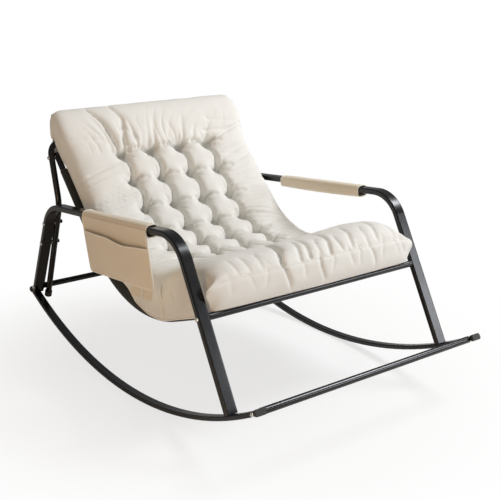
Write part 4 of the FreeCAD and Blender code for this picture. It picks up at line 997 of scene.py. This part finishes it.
def make_pocket():
    """Back and face panels sewn together along three edges, with a cord round them and one at the mouth."""
    back_height = POCKET_DROP - POCKET_TOP

    def back_place(across, up):
        return pocket_spot(across, POCKET_DROP - up * back_height)

    def face_place(across, up):
        height = up * (POCKET_DROP - mouth_drop(across))
        place = pocket_spot(across, POCKET_DROP - height)
        edge = min(across, 1 - across) * POCKET_WIDTH
        belly = (1 - math.exp(-edge / EDGE_EASE)) * (1 - math.exp(-height / EDGE_EASE))
        fold = noise.noise(Vector((across * 6, height * 9, 2.0))) * 2.5 * MM
        place.x -= 1.6 * MM + (POCKET_DEPTH + fold) * belly
        return place

    back = cloth_grid("pocket_back", 60, 30, (POCKET_WIDTH, back_height), back_place, CANVAS)
    face = cloth_grid("pocket_face", 90, 40, (POCKET_WIDTH, FACE_HEIGHT), face_place, CANVAS)
    for panel in (back, face):
        thicken(panel, 1.4 * MM)
        soften(panel)
    edge_points = [pocket_spot(0, drop) for drop in (0.004, 0.03, 0.06, 0.10, 0.15, 0.180)]
    edge_points += [pocket_spot(share, POCKET_DROP) for share in (0.02, 0.12, 0.35, 0.6, 0.85, 0.98)]
    edge_points += [pocket_spot(1, drop) for drop in (0.180, 0.12, 0.06, 0.004)]
    for point in edge_points:
        point.x -= 1.4 * MM
    rim = piping("pocket_edge_piping", edge_points, 2.6 * MM, PIPING)
    hem_points = [face_place(step / 24, 1.0) for step in range(25)]
    hem = piping("pocket_hem_piping", hem_points, 2.4 * MM, PIPING)
    for trim in (rim, hem):
        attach(trim, "root")
    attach(back, "root")
    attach(face, "root")
    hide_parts("right_pocket")


make_pocket()


# Webbing tabs under the pocket
TAB_WIDTH = 0.060
TAB_LENGTH = 0.050
TAB_OVERLAP = 0.014
TAB_LEAN = 10 * MM
TAB_CURL = 1.5 * MM


def make_tab(name, along, way):
    """Short strip behind the pocket's lower edge, curling outwards or inwards."""
    def place(across, down):
        drop = POCKET_DROP - TAB_OVERLAP + down * TAB_LENGTH
        curl = TAB_CURL * math.sin(down * 2.2) * way
        return on_arm(POCKET_X + 0.9 * MM - curl, along + across * TAB_WIDTH + down * TAB_LEAN, -drop)

    tab = cloth_grid(name, 16, 20, (TAB_WIDTH, TAB_LENGTH), place, WEBBING)
    thicken(tab, 1.3 * MM)
    soften(tab)
    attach(tab, "root")
    return tab


front_tab = make_tab("front_tab", 0.136, -1)
make_tab("rear_tab", 0.201, 1)
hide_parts("pocket_tabs")


# Sling under the cushion
SLING_FRONT = 0.012
SLING_TOP = HOOP_BOLT_AT - 0.060
SLING_RADIUS = RAIL_RADIUS + 1.3 * MM
SLING_WRAP = math.radians(120)
SLING_WIDTH = 2 * RAIL_X + 2 * SLING_RADIUS * SLING_WRAP


def sling_place(across, along):
    """Flat between the rails' upper sides and wrapped part of the way round each."""
    s = SLING_FRONT + (SLING_TOP - SLING_FRONT) * along
    reach = (across - 0.5) * SLING_WIDTH
    if abs(reach) <= RAIL_X:
        return on_rail(reach, s, SLING_RADIUS)
    angle = (abs(reach) - RAIL_X) / SLING_RADIUS
    x = math.copysign(RAIL_X + SLING_RADIUS * math.sin(angle), reach)
    return on_rail(x, s, SLING_RADIUS * math.cos(angle))


sling = cloth_grid("sling_cloth", 120, 90, (SLING_WIDTH, SLING_TOP - SLING_FRONT), sling_place, SLING)
thicken(sling, 1.2 * MM)
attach(sling, "root")
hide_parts("seat_sling")


# Floor, light and camera
FLOOR_HALF = 30
LAMP_AIM = (0, 0, 0.4)


def make_floor():
    """Paper sweep: far from the chair it is seen as plain white, near it it keeps the shadow."""
    bm = bmesh.new()
    bmesh.ops.create_grid(bm, x_segments=1, y_segments=1, size=FLOOR_HALF)
    material, tree, shader, coords = new_material("white_floor", 0.9)
    shader.inputs["Base Color"].default_value = linear("#FCFCFB")
    reach = add(tree, "ShaderNodeVectorMath", {"operation": "LENGTH"}, _0=coords.outputs["Object"])
    far = add(tree, "ShaderNodeMapRange", {"interpolation_type": "SMOOTHSTEP"}, Value=reach.outputs["Value"],
              From_Min=0.45, From_Max=1.35)
    path = tree.nodes.new("ShaderNodeLightPath")
    share = add(tree, "ShaderNodeMapRange", Value=far.outputs["Result"], To_Min=0.72, To_Max=1.0)
    seen = add(tree, "ShaderNodeMath", {"operation": "MULTIPLY"}, _0=share.outputs["Result"],
               _1=path.outputs["Is Camera Ray"])
    white = add(tree, "ShaderNodeEmission", Color=linear("#FFFFFF"), Strength=1.0)
    mix = add(tree, "ShaderNodeMixShader", _0=seen.outputs["Value"], _1=shader.outputs["BSDF"],
              _2=white.outputs["Emission"])
    tree.links.new(mix.outputs["Shader"], tree.nodes["Material Output"].inputs["Surface"])
    floor = finish_piece("studio_floor", bm, material, smooth=False)


def make_room():
    """White background, a warm fill light, and a neutral room that the coated tubes reflect."""
    world = bpy.data.worlds.new("studio")
    scene.world = world
    world.use_nodes = True
    tree = world.node_tree
    seen = tree.nodes["Background"]
    seen.inputs["Color"].default_value = linear("#FFFFFF")
    seen.inputs["Strength"].default_value = 1.0
    fill = add(tree, "ShaderNodeBackground", Color=linear("#FFEFDC"), Strength=0.32)
    path = tree.nodes.new("ShaderNodeLightPath")
    direct = add(tree, "ShaderNodeMath", {"operation": "MAXIMUM"},
                 _0=path.outputs["Is Camera Ray"], _1=path.outputs["Is Transmission Ray"])
    room = add(tree, "ShaderNodeBackground", Color=linear("#F8F8FA"), Strength=0.26)
    lit = add(tree, "ShaderNodeMixShader", _0=path.outputs["Is Glossy Ray"], _1=fill.outputs["Background"],
              _2=room.outputs["Background"])
    mix = add(tree, "ShaderNodeMixShader", _0=direct.outputs["Value"], _1=lit.outputs["Shader"],
              _2=seen.outputs["Background"])
    tree.links.new(mix.outputs["Shader"], tree.nodes["World Output"].inputs["Surface"])


def add_softbox(name, place, size, power, colour):
    """Rectangular lamp that points at the middle of the chair."""
    lamp = bpy.data.lights.new(name, "AREA")
    lamp.shape = "RECTANGLE"
    lamp.size, lamp.size_y = size
    lamp.energy = power
    lamp.color = linear(colour)[:3]
    light = bpy.data.objects.new(name, lamp)
    light.location = place
    light.rotation_euler = (Vector(LAMP_AIM) - Vector(place)).to_track_quat("-Z", "Y").to_euler()
    scene.collection.objects.link(light)


def make_camera():
    """The photograph's view."""
    camera = bpy.data.cameras.new("photo_camera")
    camera.sensor_width = 36
    camera.sensor_fit = "HORIZONTAL"
    focal_pixels, frame_pixels = 942.2, 500
    camera.lens = focal_pixels / frame_pixels * camera.sensor_width
    pitch, yaw = 0.295, 0.650
    piece = bpy.data.objects.new("photo_camera", camera)
    piece.location = (-1.8748, -2.5890, 1.3804)
    piece.rotation_euler = (math.pi / 2 - pitch, 0, -yaw)
    scene.collection.objects.link(piece)
    scene.camera = piece


make_floor()
make_room()
add_softbox("key", (2.4, -1.2, 3.4), size=(1.4, 1.4), power=108, colour="#F6FAFF")
add_softbox("front", (3.1, -3.7, 1.85), size=(1.7, 1.1), power=50, colour="#F4F8FF")
add_softbox("warm_side", (-3.0, -1.8, 0.4), size=(1.0, 1.0), power=16, colour="#FFCB92")
make_camera()
scene.view_settings.view_transform = "Standard"
